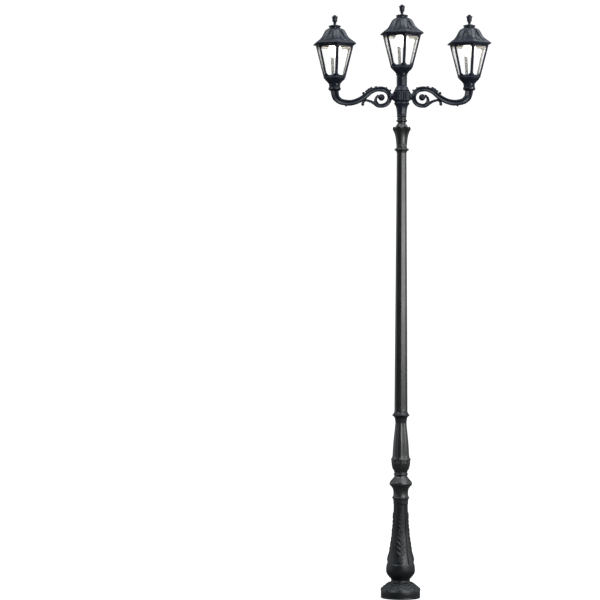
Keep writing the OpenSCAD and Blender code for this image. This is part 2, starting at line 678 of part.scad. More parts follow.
module roof_hinge_pins() color(steel) for (l = LANTERNS) at_lantern(l[1]) on_hinge() rotate([90, 0, 0])
    cylinder(r = pin_r, h = roof_lug_w + 2 * cage_lug_w + 2 * lug_gap, center = true);

// Roof: hollow below, closed under the cap, with an upstand for the cap and a boss for the lampholder
roof_form = [[1, 0], [1, eave_h / roof_h], [0.903, 0.14], [0.641, 0.271], [0.495, 0.402], [0.42, 0.477],
    [0.34, 0.598], [0.262, 0.734], [0.165, 0.874], [0.107, 0.935], [0.049, 0.977], [0, 1]];
module roof(side) color(black_coat) at_lantern(side) {
    outer = profile(roof_form, roof_top_r, eave_r, eave_z, roof_h);
    inner = [for (i = [2 : len(outer) - 3]) [outer[i][0] - roof_wall, outer[i][1] - roof_wall / 2]];
    rotate([0, 0, lock_angle]) difference() {
        union() {
            rotate([0, 0, -lock_angle]) difference() {
                sided(concat([[eave_r - 1, eave_z]], [for (i = [1 : len(outer) - 1]) outer[i]]), 6);
                sided(concat(
                    [[flange_in_r, eave_z - 1], [flange_in_r, eave_z + flange_t]],
                    [[inner[0][0], eave_z + flange_t + 0.1]], inner,
                    [[roof_top_r - roof_wall, roof_top_z - roof_wall]]
                ), 6);
            }
            translate([0, 0, boss_z]) cylinder(r = holder_r - 1, h = roof_top_z - roof_wall / 2 - boss_z);
            translate([0, 0, roof_top_z - 1]) cylinder(r = upstand_r, h = upstand_h + 1);
            translate([lock_a, 0, eave_z + 0.5]) cylinder(r = lock_boss_r, h = lock_seat_z - eave_z - 0.5);
        }
        translate([0, 0, boss_z - 1]) cylinder(r = cable_r - 2, h = roof_top_z - boss_z + upstand_h + 2);
        translate([lock_a, 0, eave_z - 1]) cylinder(r = lock_r + screw_fit, h = 30);
        translate([lock_a, 0, lock_seat_z]) cylinder(r = lock_head_r + screw_fit, h = 20);
        for (k = [0 : 2]) rotate([0, 0, 120 * k - lock_angle]) translate([0, 0, roof_top_z + cap_screw_up])
            rotate([0, 90, 0]) cylinder(r = cap_screw_r + screw_fit, h = cap_r + 5);
    }
    on_hinge() rotate([90, 0, 0]) difference() {
        union() {
            cylinder(r = knuckle_r, h = roof_lug_w, center = true);
            translate([-knuckle_r + 0.8, 0, -roof_lug_w / 2])
                cube([2 * knuckle_r - 0.8, eave_z - pin_z + 2, roof_lug_w]);
        }
        cylinder(r = pin_r + 0.3, h = 2 * roof_lug_w, center = true);
    }
}
module cap(side) color(black_coat) at_lantern(side) difference() {
    translate([0, 0, roof_top_z]) rotate_extrude() polygon(concat(
        [[0, upstand_h + 1], [upstand_r + fit, upstand_h + 1], [upstand_r + fit, 0]],
        [[cap_r, 0], [cap_r, 0.46 * cap_h], [cap_rim_r, 0.5 * cap_h], [cap_rim_r, 0.7 * cap_h]],
        [for (a = [15 : 15 : 75]) [cap_rim_r * cos(a), cap_h * (0.7 + 0.3 * sin(a))]],
        [[0, cap_h]]
    ));
    translate([0, 0, roof_top_z]) cylinder(r = 4 + fit, h = cap_h + 1);
    for (k = [0 : 2]) rotate([0, 0, 120 * k]) translate([0, 0, roof_top_z + cap_screw_up])
        rotate([0, 90, 0]) cylinder(r = cap_screw_r + screw_fit, h = cap_r + 5);
}
finial_form = [[0.42, 0], [0.42, 0.14], [0.55, 0.17], [0.55, 0.21], [0.34, 0.25], [0.58, 0.27],
    [0.73, 0.34], [0.78, 0.48], [0.82, 0.62], [1, 0.81], [0.92, 0.835], [0.62, 0.84]];
module finial(side) color(black_coat) at_lantern(side) {
    z0 = roof_top_z + cap_h;
    ball_r = 0.6 * finial_r;
    ball_z = finial_h - ball_r;
    rotate_extrude() polygon(concat(
        [[0, z0 - 12], [4, z0 - 12], [4, z0]],
        profile(finial_form, 0, finial_r, z0, finial_h),
        [for (a = [15 : 15 : 75]) [ball_r * cos(a), z0 + ball_z + ball_r * sin(a)]],
        [[0, z0 + finial_h]]
    ));
}
module roof_screws(side) color(steel) at_lantern(side) {
    for (k = [0 : 2]) rotate([0, 0, 120 * k]) translate([cap_r, 0, roof_top_z + cap_screw_up])
        rotate([0, 90, 0]) socket_screw(cap_screw_r, 3.6, 2, 8);
    rotate([0, 0, lock_angle]) translate([lock_a, 0, lock_seat_z]) {
        intersection() {
            cylinder(r = lock_head_r, h = 5);
            translate([0, 0, -3.5]) sphere(r = 8.5);
        }
        translate([0, 0, rail_z - lock_pad_h - lock_seat_z])
            cylinder(r = lock_r, h = lock_seat_z - rail_z + lock_pad_h + 0.5);
    }
}

// Lamp: tray, holder and a globe lamp that screws up into it
module reflector(side) color(white_enamel) at_lantern(side) {
    rim_z = eave_z + flange_t + fit;
    slope = [[flange_in_r - 8, rim_z + tray_t], [tray_mid_r, eave_z + tray_up + tray_t]];
    difference() {
        sided([[flange_in_r + 4, rim_z], [flange_in_r + 4, rim_z + tray_t], slope[0], slope[1]], 6);
        sided([
            [slope[0][0] - 1, rim_z - 1], [slope[0][0] - 1, rim_z], [tray_mid_r - tray_t, eave_z + tray_up]
        ], 6);
        translate([0, 0, eave_z]) cylinder(r = tray_hole_r, h = 2 * tray_up);
        rotate([0, 0, lock_angle]) translate([lock_a, 0, eave_z]) cylinder(r = lock_boss_r + 1, h = 20);
    }
}
module lampholder(side) color(white_enamel) at_lantern(side) translate([0, 0, holder_z]) difference() {
    union() {
        cylinder(r = holder_flange_r, h = 3);
        cylinder(r = holder_r, h = holder_h - 12);
        translate([0, 0, holder_h - 12]) cylinder(r1 = holder_r, r2 = holder_r - 5, h = 12);
    }
    translate([0, 0, -1]) cylinder(r = holder_bore_r, h = lamp_cap_h + contact_h + 5);
    cylinder(r = 3, h = holder_h + 1);
}
module bulb_cap(side) color(steel) at_lantern(side) translate([0, 0, lamp_cap_z]) difference() {
    rotate_extrude() polygon(concat(
        [[0, 0], [lamp_cap_r - 0.5, 0]],
        [for (i = [0 : 20]) [lamp_cap_r - 0.5 + 0.5 * cos(i * 90), 2 + i * 0.9]],
        [[lamp_cap_r - 0.5, lamp_cap_h - 4], [contact_r + 1, lamp_cap_h], [0, lamp_cap_h]]
    ));
    translate([0, 0, -1]) cylinder(r = 3, h = 10);
}
module bulb_contact(side) color(steel) at_lantern(side) translate([0, 0, lamp_cap_z + lamp_cap_h])
    cylinder(r1 = contact_r, r2 = contact_r - 1.5, h = contact_h);
function globe_side(t) = concat(
    [for (a = [-90 : 6 : 60]) [(globe_r - t) * cos(a), globe_z + (globe_r - t) * sin(a)]],
    [[lamp_neck_r + 1.5 - t, lamp_cap_z - 13], [lamp_neck_r - t, lamp_cap_z - 8]],
    [[lamp_cap_r - 0.6 - t, lamp_cap_z]]
);
module bulb_globe(side) color([0.98, 0.96, 0.9]) at_lantern(side)
    turned(globe_side(0), globe_side(globe_wall));

base_plate();
core_tube();
foot_cover();
base_body();
terminal_box();
service_cover();
cover_screws();
lower_collar();
baluster();
shaft_ring();
shaft();
centring_bushes();
capital();
head_stem();
hub();
top_stem();
arm_left();
arm_right();
fixing_screws();
sleeve_screws();
roof_hinge_pins();
for (l = LANTERNS) {
    cup(l[1]);
    cage(l[1]);
    panes(l[1]);
    gasket(l[1]);
    roof(l[1]);
    cap(l[1]);
    finial(l[1]);
    roof_screws(l[1]);
    reflector(l[1]);
    lampholder(l[1]);
    bulb_contact(l[1]);
    bulb_cap(l[1]);
    bulb_globe(l[1]);
}
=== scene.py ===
# Looks of the outdoor post light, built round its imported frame.
# Sizes in the dictionaries are millimetres; addPiece turns them into metres.
import math
import bpy
import numpy as np
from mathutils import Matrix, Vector


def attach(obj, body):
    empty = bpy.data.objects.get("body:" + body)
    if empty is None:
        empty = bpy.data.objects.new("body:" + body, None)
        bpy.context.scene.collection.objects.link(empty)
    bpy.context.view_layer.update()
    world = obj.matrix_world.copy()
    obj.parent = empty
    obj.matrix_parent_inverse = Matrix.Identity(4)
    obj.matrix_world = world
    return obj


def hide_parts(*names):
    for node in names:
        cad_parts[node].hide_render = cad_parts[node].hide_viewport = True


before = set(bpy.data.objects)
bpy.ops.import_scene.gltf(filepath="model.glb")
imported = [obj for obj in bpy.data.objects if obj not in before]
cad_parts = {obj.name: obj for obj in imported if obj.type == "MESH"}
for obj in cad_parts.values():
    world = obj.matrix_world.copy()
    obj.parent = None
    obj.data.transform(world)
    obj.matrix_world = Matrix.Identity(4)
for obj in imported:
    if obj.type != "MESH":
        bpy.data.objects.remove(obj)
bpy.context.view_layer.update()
scene = bpy.context.scene
metre = 0.001
tau = 2 * np.pi
noQuads, noTris = np.zeros((0, 4), int), np.zeros((0, 3), int)
sides = {"left": -1, "centre": 0, "right": 1}
print("frame loaded:", len(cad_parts), "nodes")

# castings from the ground up with their heights, the level each stands on, and what the lanterns share
heightOf = {"foot": 120, "bell": 518, "knop": 190, "baluster": 350, "ring": 46, "shaft": 1708, "capital": 236,
            "stem": 99, "hub": 88, "topStem": 85}
levelOf = dict(zip([*heightOf, "top"], np.cumsum([0, *heightOf.values()]).tolist()))
post = {"boreR": 24.45, "reach": 443, "sideZ": levelOf["top"] - 68, "armZ": levelOf["hub"] + 35, "lanternTurn": -80}


# patches: vertices, four-cornered faces and three-cornered faces

def quadsOf(rows, cols, wrapRows, wrapCols):
    # corner numbers of a grid's faces, along the row first and then up
    i, j = np.meshgrid(np.arange(rows - (not wrapRows)), np.arange(cols - (not wrapCols)), indexing="ij")
    i2, j2 = (i + 1) % rows, (j + 1) % cols
    return np.stack([i * cols + j, i * cols + j2, i2 * cols + j2, i2 * cols + j], -1).reshape(-1, 4)


def grid(points, wrapRows=False, wrapCols=True, caps=False):
    # a (rows, columns, 3) sheet of points; a cap is a fan round the middle of the first or last row
    rows, cols = points.shape[:2]
    verts, tris = [points.reshape(-1, 3)], [noTris]
    j = np.arange(cols)
    j2 = (j + 1) % cols
    for row, a, b in ((0, j2, j), (rows - 1, j, j2)) if caps else ():
        centre = np.full(cols, sum(map(len, verts)))
        verts.append(points[row].mean(0)[None])
        tris.append(np.stack([centre, row * cols + a, row * cols + b], 1))
    return np.vstack(verts), quadsOf(rows, cols, wrapRows, wrapCols), np.vstack(tris)


def merge(*patches):
    # several patches as one
    starts = np.cumsum([0] + [len(p[0]) for p in patches])
    return (np.vstack([p[0] for p in patches]),
            np.vstack([p[1] + s for p, s in zip(patches, starts)]),
            np.vstack([p[2] + s for p, s in zip(patches, starts)]))


def weld(patch, step=0.002):
    # vertices that lie in the same place become one, and a face that loses a side becomes three-cornered
    verts, quads, tris = patch
    keys = np.round(verts / step).astype(np.int64)
    first, inverse = np.unique(keys, axis=0, return_index=True, return_inverse=True)[1:]
    inverse = inverse.ravel()
    quads, tris = inverse[quads], inverse[tris]
    narrow = [(quads[:, k] == quads[:, (k + 1) % 4]) for k in range(4)]
    tris = np.vstack([tris] + [np.delete(quads[narrow[k]], k, axis=1) for k in range(4)])
    good = (tris[:, 0] != tris[:, 1]) & (tris[:, 1] != tris[:, 2]) & (tris[:, 2] != tris[:, 0])
    return verts[first], quads[~np.any(narrow, axis=0)], tris[good]


def flipped(patch):
    # the same patch with its faces turned round
    return patch[0], patch[1][:, ::-1], patch[2][:, ::-1]


def mirrored(patch):
    # mirrored in X, with the faces turned round so that they still point outwards
    return flipped((patch[0] * [-1, 1, 1], patch[1], patch[2]))


def turn(points, degrees):
    # turned about the Z axis
    c, s = math.cos(math.radians(degrees)), math.sin(math.radians(degrees))
    return points @ np.array([[c, s, 0], [-s, c, 0], [0, 0, 1]])


def placed(patch, degrees=0.0, offset=(0, 0, 0)):
    # a patch turned about Z and then moved
    return turn(patch[0], degrees) + np.array(offset, float), patch[1], patch[2]


def aimed(patch, place, direction):
    # a patch made along +Z, stood at a place and pointing along a direction
    z = np.array(direction, float) / np.linalg.norm(direction)
    side = np.array([0, 0, 1.0]) if abs(z[2]) < 0.9 else np.array([1.0, 0, 0])
    x = np.cross(side, z)
    x = x / np.linalg.norm(x)
    return patch[0] @ np.array([x, np.cross(z, x), z]) + np.array(place, float), patch[1], patch[2]


def polar(radius, degrees, z=0):
    # a point by its distance from the Z axis, its direction and its height
    return np.array([radius * math.cos(math.radians(degrees)), radius * math.sin(math.radians(degrees)), z])


# profiles: rows of [radius, height]

def curve(points, steps):
    # cubic through the points with so many steps between neighbours, as in the CAD source
    p = np.asarray(points, float)
    k = np.arange(len(p) - 1)
    a, b, c, d = (p[i][:, None] for i in (np.maximum(k - 1, 0), k, k + 1, np.minimum(k + 2, len(p) - 1)))
    t = (np.arange(steps) / steps)[None, :, None]
    out = (2 * b + (c - a) * t + (2 * a - 5 * b + 4 * c - d) * t**2 + (3 * b - a - 3 * c + d) * t**3) / 2
    return np.vstack([out.reshape(-1, p.shape[1]), p[-1:]])


def shares(form, r0, r1, z0, height):
    # rows of [share of the swell, share of the height] as radii and heights
    f = np.array(form, float)
    return np.stack([r0 + (r1 - r0) * f[:, 0], z0 + height * f[:, 1]], 1)


def along(line):
    # length of a line from its start to each of its points
    return np.concatenate([[0], np.cumsum(np.linalg.norm(np.diff(line, axis=0), axis=1))])


def evenly(line, step):
    # the same line with points an even step apart
    line = np.asarray(line, float)
    length = along(line)
    at = np.linspace(0, length[-1], max(2, int(np.ceil(length[-1] / step)) + 1))
    return np.stack([np.interp(at, length, line[:, k]) for k in range(line.shape[1])], 1)


def split(line, step):
    # straight stretches cut to a step, with every corner kept
    line = np.asarray(line, float)
    parts = [evenly(line[k:k + 2], step)[:-1] for k in range(len(line) - 1)]
    return np.vstack(parts + [line[-1:]])


def bead(radius, z0, height, swell, count=9):
    # half round moulding between two heights on a given radius
    a = np.linspace(0, np.pi, count)
    return np.stack([radius + swell * np.sin(a), z0 + height * (1 - np.cos(a)) / 2], 1)


def arcLine(radius, rise, low, high, count):
    # profile of a ball or dome between two angles from its equator
    a = np.linspace(low, high, count)
    return np.stack([radius * np.cos(a), rise * np.sin(a)], 1)


def bore(z0, z1, radius=post["boreR"]):
    # straight hole between two heights
    return np.array([[radius, z0], [radius, z1]], float)


# reliefs

def ease(x, low, high):
    # 0 below low, 1 above high, smooth between
    t = np.clip((x - low) / (high - low), 0, 1)
    return t * t * (3 - 2 * t)


def band(x, low, lowEnd, high, highEnd):
    # rises from 0 to 1 between the first two numbers and falls back between the last two
    return ease(x, low, lowEnd) * (1 - ease(x, high, highEnd))


def ridge(x, width):
    # rounded ridge, 1 high where x is 0
    return np.exp(-((x / width) ** 2))


def leaf(across, up, width, lobes):
    # acanthus leaf, about 1 high: lobed outline, slanting veins and a midrib; up runs from 0 to 1 along it
    t = np.clip(up, 0.001, 0.999)
    outline = width * np.sin(np.pi * t**0.75) ** 0.7 * (0.86 - 0.14 * np.cos(tau * lobes * t))
    body = ease(outline - np.abs(across), -0.3, 0.22 * width)
    veins = 0.5 + 0.5 * np.cos(tau * (lobes * t - 0.9 * np.abs(across) / width))
    rib = ridge(across, 0.13 * width)
    return np.where((up > 0) & (up < 1), body * (0.5 + 0.3 * veins + 0.35 * rib), 0)


def around(angle, count, start=-90.0):
    # degrees from the middle of the nearest of so many equal parts of the circle
    part = 360 / count
    return (np.degrees(angle) - start + part / 2) % part - part / 2


def faceShare(angle):
    # place across the nearest of the column's eight faces: 0 in its middle, 1 and -1 at its arrises
    return around(angle, 8, -90 + 22.5) / 22.5


def hollows(depth, *heights):
    # relief of eight hollow faces between arrises, which die out at both ends
    def relief(angle, height, r):
        return -depth * np.clip(1 - faceShare(angle) ** 2, 0, 1) * band(height, *heights)
    return relief


def hexRadius(radius, angle, hexShare, corners=6, start=0.0):
    # corner radius to radius at an angle; hexShare 0 is round and 1 has flat sides
    off = np.radians(around(angle, corners, start + 180 / corners))
    flat = np.cos(np.pi / corners) / np.cos(off)
    return radius * (1 + hexShare * (flat - 1))


# solids

def circle(count):
    # angles of so many even columns, as one row
    return np.linspace(0, tau, count, endpoint=False)[None, :]


def sheet(radius, angle, height):
    # radii, angles and heights as one sheet of points
    return np.stack(np.broadcast_arrays(radius * np.cos(angle), radius * np.sin(angle), height), -1)


def ringOf(profile, count, relief=None, hexShare=0.0, corners=6, start=0.0):
    # sheet of points: the profile carried round Z, pushed out along its own normal by the relief
    a = circle(count)
    r, z = profile[:, :1], profile[:, 1:2]
    r2 = hexRadius(r, a, np.asarray(hexShare, float).reshape(-1, 1) + 0 * r, corners, start)
    if relief is not None:
        dr, dz = np.gradient(profile[:, 0]), np.gradient(profile[:, 1])
        size = np.hypot(dr, dz)[:, None] + 1e-9
        push = relief(a, z, r2)
        r2, z = r2 + push * dz[:, None] / size, z - push * dr[:, None] / size
    return sheet(r2, a, z)


def lathe(profile, count=48, relief=None, hexShare=0.0):
    # closed solid of revolution from its lowest to its highest point
    return grid(ringOf(np.asarray(profile, float), count, relief, hexShare), caps=True)


def casting(outer, inner, count=96, relief=None, hexShare=0.0, corners=6, start=0.0):
    # hollow solid: the outer profile upwards, then the inner one downwards, closed at both ends
    outside = ringOf(np.asarray(outer, float), count, relief, hexShare, corners, start)
    return grid(np.concatenate([outside, ringOf(np.asarray(inner, float)[::-1], count)]), wrapRows=True)


def standing(part, outer, count, relief=None):
    # a casting of the column on the level it stands on, with the common bore
    z = levelOf[part]
    return casting(outer + np.array([0, z]), bore(z, z + heightOf[part]), count, relief)


def slab(front, back):
    # two matching sheets that face opposite ways, joined round their edges
    loop = grid(np.concatenate([front, back[::-1]]), wrapRows=True, wrapCols=False)
    ends = [grid(np.stack([back[:, 0], front[:, 0]], 1), wrapCols=False),
            grid(np.stack([front[:, -1], back[:, -1]], 1), wrapCols=False)]
    return weld(merge(loop, *ends))


def block(low, high, edge=0.8):
    # box with rounded upright corners and eased ends: an outline of four arcs, inset at both ends
    low, high = np.array(low, float), np.array(high, float)
    a = np.radians(np.arange(0, 360, 90)[:, None] + np.array([0, 30, 60, 90])).ravel()
    quarter = np.repeat(np.arange(4), 4) * np.pi / 2 + np.pi / 4
    corner = np.sign(np.stack([np.cos(quarter), np.sin(quarter)], 1))
    middle, half = (low + high)[:2] / 2, (high - low)[:2] / 2
    rows, ease1 = [], edge * 0.6
    for z, inset in ((low[2], ease1), (low[2] + ease1, 0), (high[2] - ease1, 0), (high[2], ease1)):
        xy = middle + corner * (half - edge) + (edge - inset) * np.stack([np.cos(a), np.sin(a)], 1)
        rows.append(np.column_stack([xy, np.full(len(a), z)]))
    return grid(np.array(rows), caps=True)


def barrel(length, radius, edge, hole):
    # round bar along Z about the origin, with eased ends and a hole
    h = length / 2
    return casting([[radius - edge, -h], [radius, -h + edge], [radius, h - edge], [radius - edge, h]],
                   bore(-h, h, hole), 32)


def ball(radius, place=(0, 0, 0), count=24, squash=1.0):
    # sphere from pole to pole
    line = arcLine(radius, squash * radius, -np.pi / 2, np.pi / 2, count // 2 + 1)[1:-1]
    return placed(lathe(line, count), 0, place)


def socketScrew(shank, headR, headH, length):
    # socket headed screw along +Z with its seat at 0: the socket's rows are six sided
    profile = [[shank - 0.3, -length], [shank, 0.3 - length], [shank, -0.05], [headR, 0], [headR, headH - 0.5],
               [headR - 0.4, headH], [0.6 * headR, headH], [0.55 * headR, headH - 0.15],
               [0.55 * headR, 0.45 * headH]]
    return lathe(profile, 36, None, [0, 0, 0, 0, 0, 0, 0, 1, 1])


def addPiece(name, patch, material, node, body="root"):
    # a patch as an object at the origin that rides on a body and stands for a CAD node
    verts, quads, tris = patch
    mesh = bpy.data.meshes.new(name)
    mesh.from_pydata((verts * metre).tolist(), [], quads.tolist() + tris.tolist())
    mesh.polygons.foreach_set("use_smooth", np.ones(len(mesh.polygons), bool))
    mesh.set_sharp_from_angle(angle=math.radians(35))
    mesh.materials.append(material)
    obj = bpy.data.objects.new(name, mesh)
    scene.collection.objects.link(obj)
    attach(obj, body)
    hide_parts(node)
    print(f"made {name}: {len(mesh.polygons)} faces")


# effects shared by the materials

def setInputs(tree, node, inputs):
    # each input gets a value, or a link from the socket that feeds it
    for key, value in inputs.items():
        if isinstance(value, bpy.types.NodeSocket):
            tree.links.new(value, node.inputs[key])
        else:
            node.inputs[key].default_value = value


def addNode(tree, kind, inputs, **settings):
    # a node with its settings and inputs
    node = tree.nodes.new(kind)
    for key, value in settings.items():
        setattr(node, key, value)
    setInputs(tree, node, inputs)
    return node


def mathNode(tree, operation, a, b=0.0, clamp=False):
    return addNode(tree, "ShaderNodeMath", {0: a, 1: b}, operation=operation, use_clamp=clamp).outputs[0]


def remap(tree, value, low, high, lowTo=0.0, highTo=1.0):
    # low to high becomes lowTo to highTo, held at both ends
    return addNode(tree, "ShaderNodeMapRange", {0: value, 1: low, 2: high, 3: lowTo, 4: highTo}).outputs[0]


def mixColour(tree, share, a, b):
    return addNode(tree, "ShaderNodeMix", {0: share, 6: a, 7: b}, data_type="RGBA").outputs[2]


def vectorNode(tree, operation, inputs):
    return addNode(tree, "ShaderNodeVectorMath", inputs, operation=operation).outputs


def geometry(tree, output):
    return addNode(tree, "ShaderNodeNewGeometry", {}).outputs[output]


def objectPoint(tree):
    return addNode(tree, "ShaderNodeTexCoord", {}).outputs["Object"]


def noiseAt(tree, where, scale, detail=2.0, roughness=0.5):
    inputs = {"Vector": where, "Scale": scale, "Detail": detail, "Roughness": roughness}
    return addNode(tree, "ShaderNodeTexNoise", inputs).outputs["Fac"]


def greyOf(tree, value):
    return addNode(tree, "ShaderNodeCombineColor", {0: value, 1: value, 2: value}).outputs[0]


def seenDirectly(tree):
    # 1 for a ray from the camera, straight or through glass
    path = addNode(tree, "ShaderNodeLightPath", {}).outputs
    return mathNode(tree, "MAXIMUM", path["Is Camera Ray"], path["Is Transmission Ray"])


def newMaterial(name):
    material = bpy.data.materials.new(name)
    material.use_nodes = True
    return material, material.node_tree, material.node_tree.nodes["Principled BSDF"]


def newGroup(name, inputs, outputs):
    # a node group from its sockets' names, kinds and values
    group = bpy.data.node_groups.new(name, "ShaderNodeTree")
    for socketName, kind, value in inputs:
        socket = group.interface.new_socket(name=socketName, in_out="INPUT", socket_type="NodeSocket" + kind)
        socket.default_value = value
    for socketName, kind in outputs:
        group.interface.new_socket(name=socketName, in_out="OUTPUT", socket_type="NodeSocket" + kind)
    return group, group.nodes.new("NodeGroupInput").outputs, group.nodes.new("NodeGroupOutput")


def paintedCasting():
    # cast and painted surface: fine orange peel and sand, slow patches in the paint, dust on what
    # faces up, and pale edges that are partly rubbed paint and partly a painted highlight, in the dust colour
    tree, given, result = newGroup(
        "paintedCasting",
        [("Colour", "Color", (0.02, 0.02, 0.025, 1)), ("Dust And Highlight", "Color", (0.2, 0.19, 0.18, 1)),
         ("Dust Amount", "Float", 0.15), ("Wear And Edge Highlight", "Float", 0.3), ("Grain Size", "Float", 700.0),
         ("Roughness", "Float", 0.45)],
        [("Colour", "Color"), ("Roughness", "Float"), ("Height", "Float")])
    where = objectPoint(tree)
    sand = noiseAt(tree, where, given["Grain Size"], 3.0, 0.6)
    peel = noiseAt(tree, where, 160.0)
    slow = noiseAt(tree, where, 9.0, 4.0)
    height = mathNode(tree, "ADD", mathNode(tree, "MULTIPLY", sand, 0.55), mathNode(tree, "MULTIPLY", peel, 0.45))
    upward = addNode(tree, "ShaderNodeSeparateXYZ", {0: geometry(tree, "Normal")}).outputs["Z"]
    settled = mathNode(tree, "MULTIPLY", mathNode(tree, "MAXIMUM", upward, 0.0), remap(tree, slow, 0.35, 0.7))
    dusty = mathNode(tree, "MULTIPLY", settled, given["Dust Amount"], True)
    # convex edges go toward the dust colour: rubbed paint and a painted edge highlight
    edge = remap(tree, geometry(tree, "Pointiness"), 0.53, 0.62)
    wornAndHighlit = mathNode(tree, "MULTIPLY", mathNode(tree, "MULTIPLY", edge, sand), given["Wear And Edge Highlight"], True)
    patchy = vectorNode(tree, "SCALE", {0: given["Colour"], "Scale": remap(tree, slow, 0.3, 0.7, 0.78, 1.2)})[0]
    speckled = vectorNode(tree, "SCALE", {0: patchy, "Scale": remap(tree, sand, 0.35, 0.7, 0.75, 1.3)})[0]
    tinted = mixColour(tree, wornAndHighlit, mixColour(tree, dusty, speckled, given["Dust And Highlight"]), given["Dust And Highlight"])
    uneven = mathNode(tree, "MULTIPLY", mathNode(tree, "SUBTRACT", slow, 0.5), 0.22)
    rough = mathNode(tree, "ADD", given["Roughness"], uneven)
    rough = mathNode(tree, "ADD", rough, mathNode(tree, "MULTIPLY", dusty, 0.25), True)
    setInputs(tree, result, {"Colour": tinted, "Roughness": rough, "Height": height})
    return tree


coatGroup = paintedCasting()


def coated(name, colour, dustAndHighlight=(0.25, 0.24, 0.23), dustAmount=0.12, wearAndHighlight=0.25, grain=700.0, roughness=0.45,
           depth=0.00012, strength=0.5, metallic=0.0, coat=0.0, coatRoughness=0.2, specular=0.5):
    # a painted or bare metal finish with the casting group's grain
    material, tree, shader = newMaterial(name)
    finish = tree.nodes.new("ShaderNodeGroup")
    finish.node_tree = coatGroup
    setInputs(tree, finish, {"Colour": (*colour, 1), "Dust And Highlight": (*dustAndHighlight, 1), "Dust Amount": dustAmount, "Wear And Edge Highlight": wearAndHighlight,
                             "Grain Size": grain, "Roughness": roughness})
    bump = addNode(tree, "ShaderNodeBump",
                   {"Height": finish.outputs["Height"], "Strength": strength, "Distance": depth})
    setInputs(tree, shader, {"Base Color": finish.outputs["Colour"], "Roughness": finish.outputs["Roughness"],
                             "Normal": bump.outputs["Normal"], "Metallic": metallic, "Coat Weight": coat,
                             "Coat Roughness": coatRoughness, "Specular IOR Level": specular})
    return material


headLook = {"colour": (0.010, 0.0145, 0.030), "dustAndHighlight": (0.1, 0.12, 0.17), "dustAmount": 0.2, "wearAndHighlight": 0.35,
            "grain": 620.0, "roughness": 0.34, "depth": 0.00045, "strength": 0.7, "coat": 0.15,
            "coatRoughness": 0.25, "specular": 0.45}
headCoat = coated("headCoat", **headLook)
shaftCoat = coated("shaftCoat", (0.016, 0.0175, 0.017), dustAndHighlight=(0.22, 0.23, 0.22), dustAmount=0.2, wearAndHighlight=0.3,
                   grain=500.0, roughness=0.3, depth=0.00018, coat=0.3, coatRoughness=0.22, specular=0.66)
baseCoat = coated("baseCoat", (0.009, 0.0115, 0.0135), dustAndHighlight=(0.1, 0.115, 0.125), dustAmount=0.05, wearAndHighlight=0.35,
                  grain=520.0, roughness=0.38, depth=0.0002, coat=0.2, coatRoughness=0.22)
columnCoat = coated("columnCoat", (0.016, 0.0175, 0.018), dustAndHighlight=(0.15, 0.16, 0.165), dustAmount=0.12, wearAndHighlight=0.35,
                    grain=520.0, roughness=0.33, depth=0.0002, coat=0.35, coatRoughness=0.22, specular=0.75)
stainless = coated("stainless", (0.32, 0.315, 0.31), dustAndHighlight=(0.3, 0.29, 0.28), dustAmount=0.1, wearAndHighlight=0.0,
                   grain=1500.0, depth=0.00003, strength=0.3, metallic=1.0)
zincSteel = coated("zincSteel", (0.42, 0.43, 0.44), dustAndHighlight=(0.25, 0.24, 0.22), dustAmount=0.3, wearAndHighlight=0.1,
                   grain=90.0, roughness=0.5, depth=0.0001, strength=0.3, metallic=0.9)
trayWhite = coated("trayWhite", (0.84, 0.82, 0.76), dustAndHighlight=(0.5, 0.46, 0.4), dustAmount=0.1, wearAndHighlight=0.05,
                   grain=400.0, roughness=0.3, depth=0.00002, strength=0.1, coat=0.6, coatRoughness=0.08)
holderCeramic = coated("holderCeramic", (0.86, 0.85, 0.81), dustAndHighlight=(0.45, 0.4, 0.34), dustAmount=0.15, wearAndHighlight=0.05,
                       grain=300.0, roughness=0.22, depth=0.00005, strength=0.2, coat=0.5)
lampNickel = coated("lampNickel", (0.7, 0.68, 0.64), dustAndHighlight=(0.3, 0.28, 0.24), dustAmount=0.1, wearAndHighlight=0.1,
                    grain=800.0, roughness=0.3, depth=0.00003, strength=0.3, metallic=1.0)
contactBrass = coated("contactBrass", (0.75, 0.55, 0.24), dustAndHighlight=(0.25, 0.2, 0.12), dustAmount=0.1, wearAndHighlight=0.1,
                      grain=900.0, roughness=0.35, depth=0.00003, strength=0.3, metallic=1.0)
boxPlastic = coated("boxPlastic", (0.055, 0.058, 0.062), dustAndHighlight=(0.2, 0.2, 0.2), dustAmount=0.3, wearAndHighlight=0.2,
                    grain=350.0, roughness=0.55, depth=0.0001, strength=0.4)
gasketRubber = coated("gasketRubber", (0.012, 0.012, 0.012), dustAndHighlight=(0.1, 0.1, 0.1), dustAmount=0.3, wearAndHighlight=0.2,
                      grain=450.0, roughness=0.75, depth=0.0001, strength=0.4)


def paintLampLightInside(material, tone):
    # painted lamplight: a paler tone on the faces that look in at a lantern's lamp, standing in for the lamp's
    # light on them; the lanterns stand one reach apart
    tree = material.node_tree
    spot = addNode(tree, "ShaderNodeSeparateXYZ", {0: objectPoint(tree)}).outputs
    half = post["reach"] * metre / 2
    x = addNode(tree, "ShaderNodeMath", {0: spot["X"], 1: half, 2: -half}, operation="WRAP").outputs[0]
    outward = addNode(tree, "ShaderNodeCombineXYZ", {0: x, 1: spot["Y"]}).outputs[0]
    away = vectorNode(tree, "NORMALIZE", {0: outward})[0]
    facing = vectorNode(tree, "DOT_PRODUCT", {0: away, 1: geometry(tree, "Normal")})["Value"]
    # the more a face looks towards the lamp, the more of the painted lamplight tone it gets
    mask = remap(tree, facing, -0.3, -0.75)
    base = tree.nodes["Principled BSDF"].inputs["Base Color"]
    tree.links.new(mixColour(tree, mask, base.links[0].from_socket, (*tone, 1)), base)
    return material


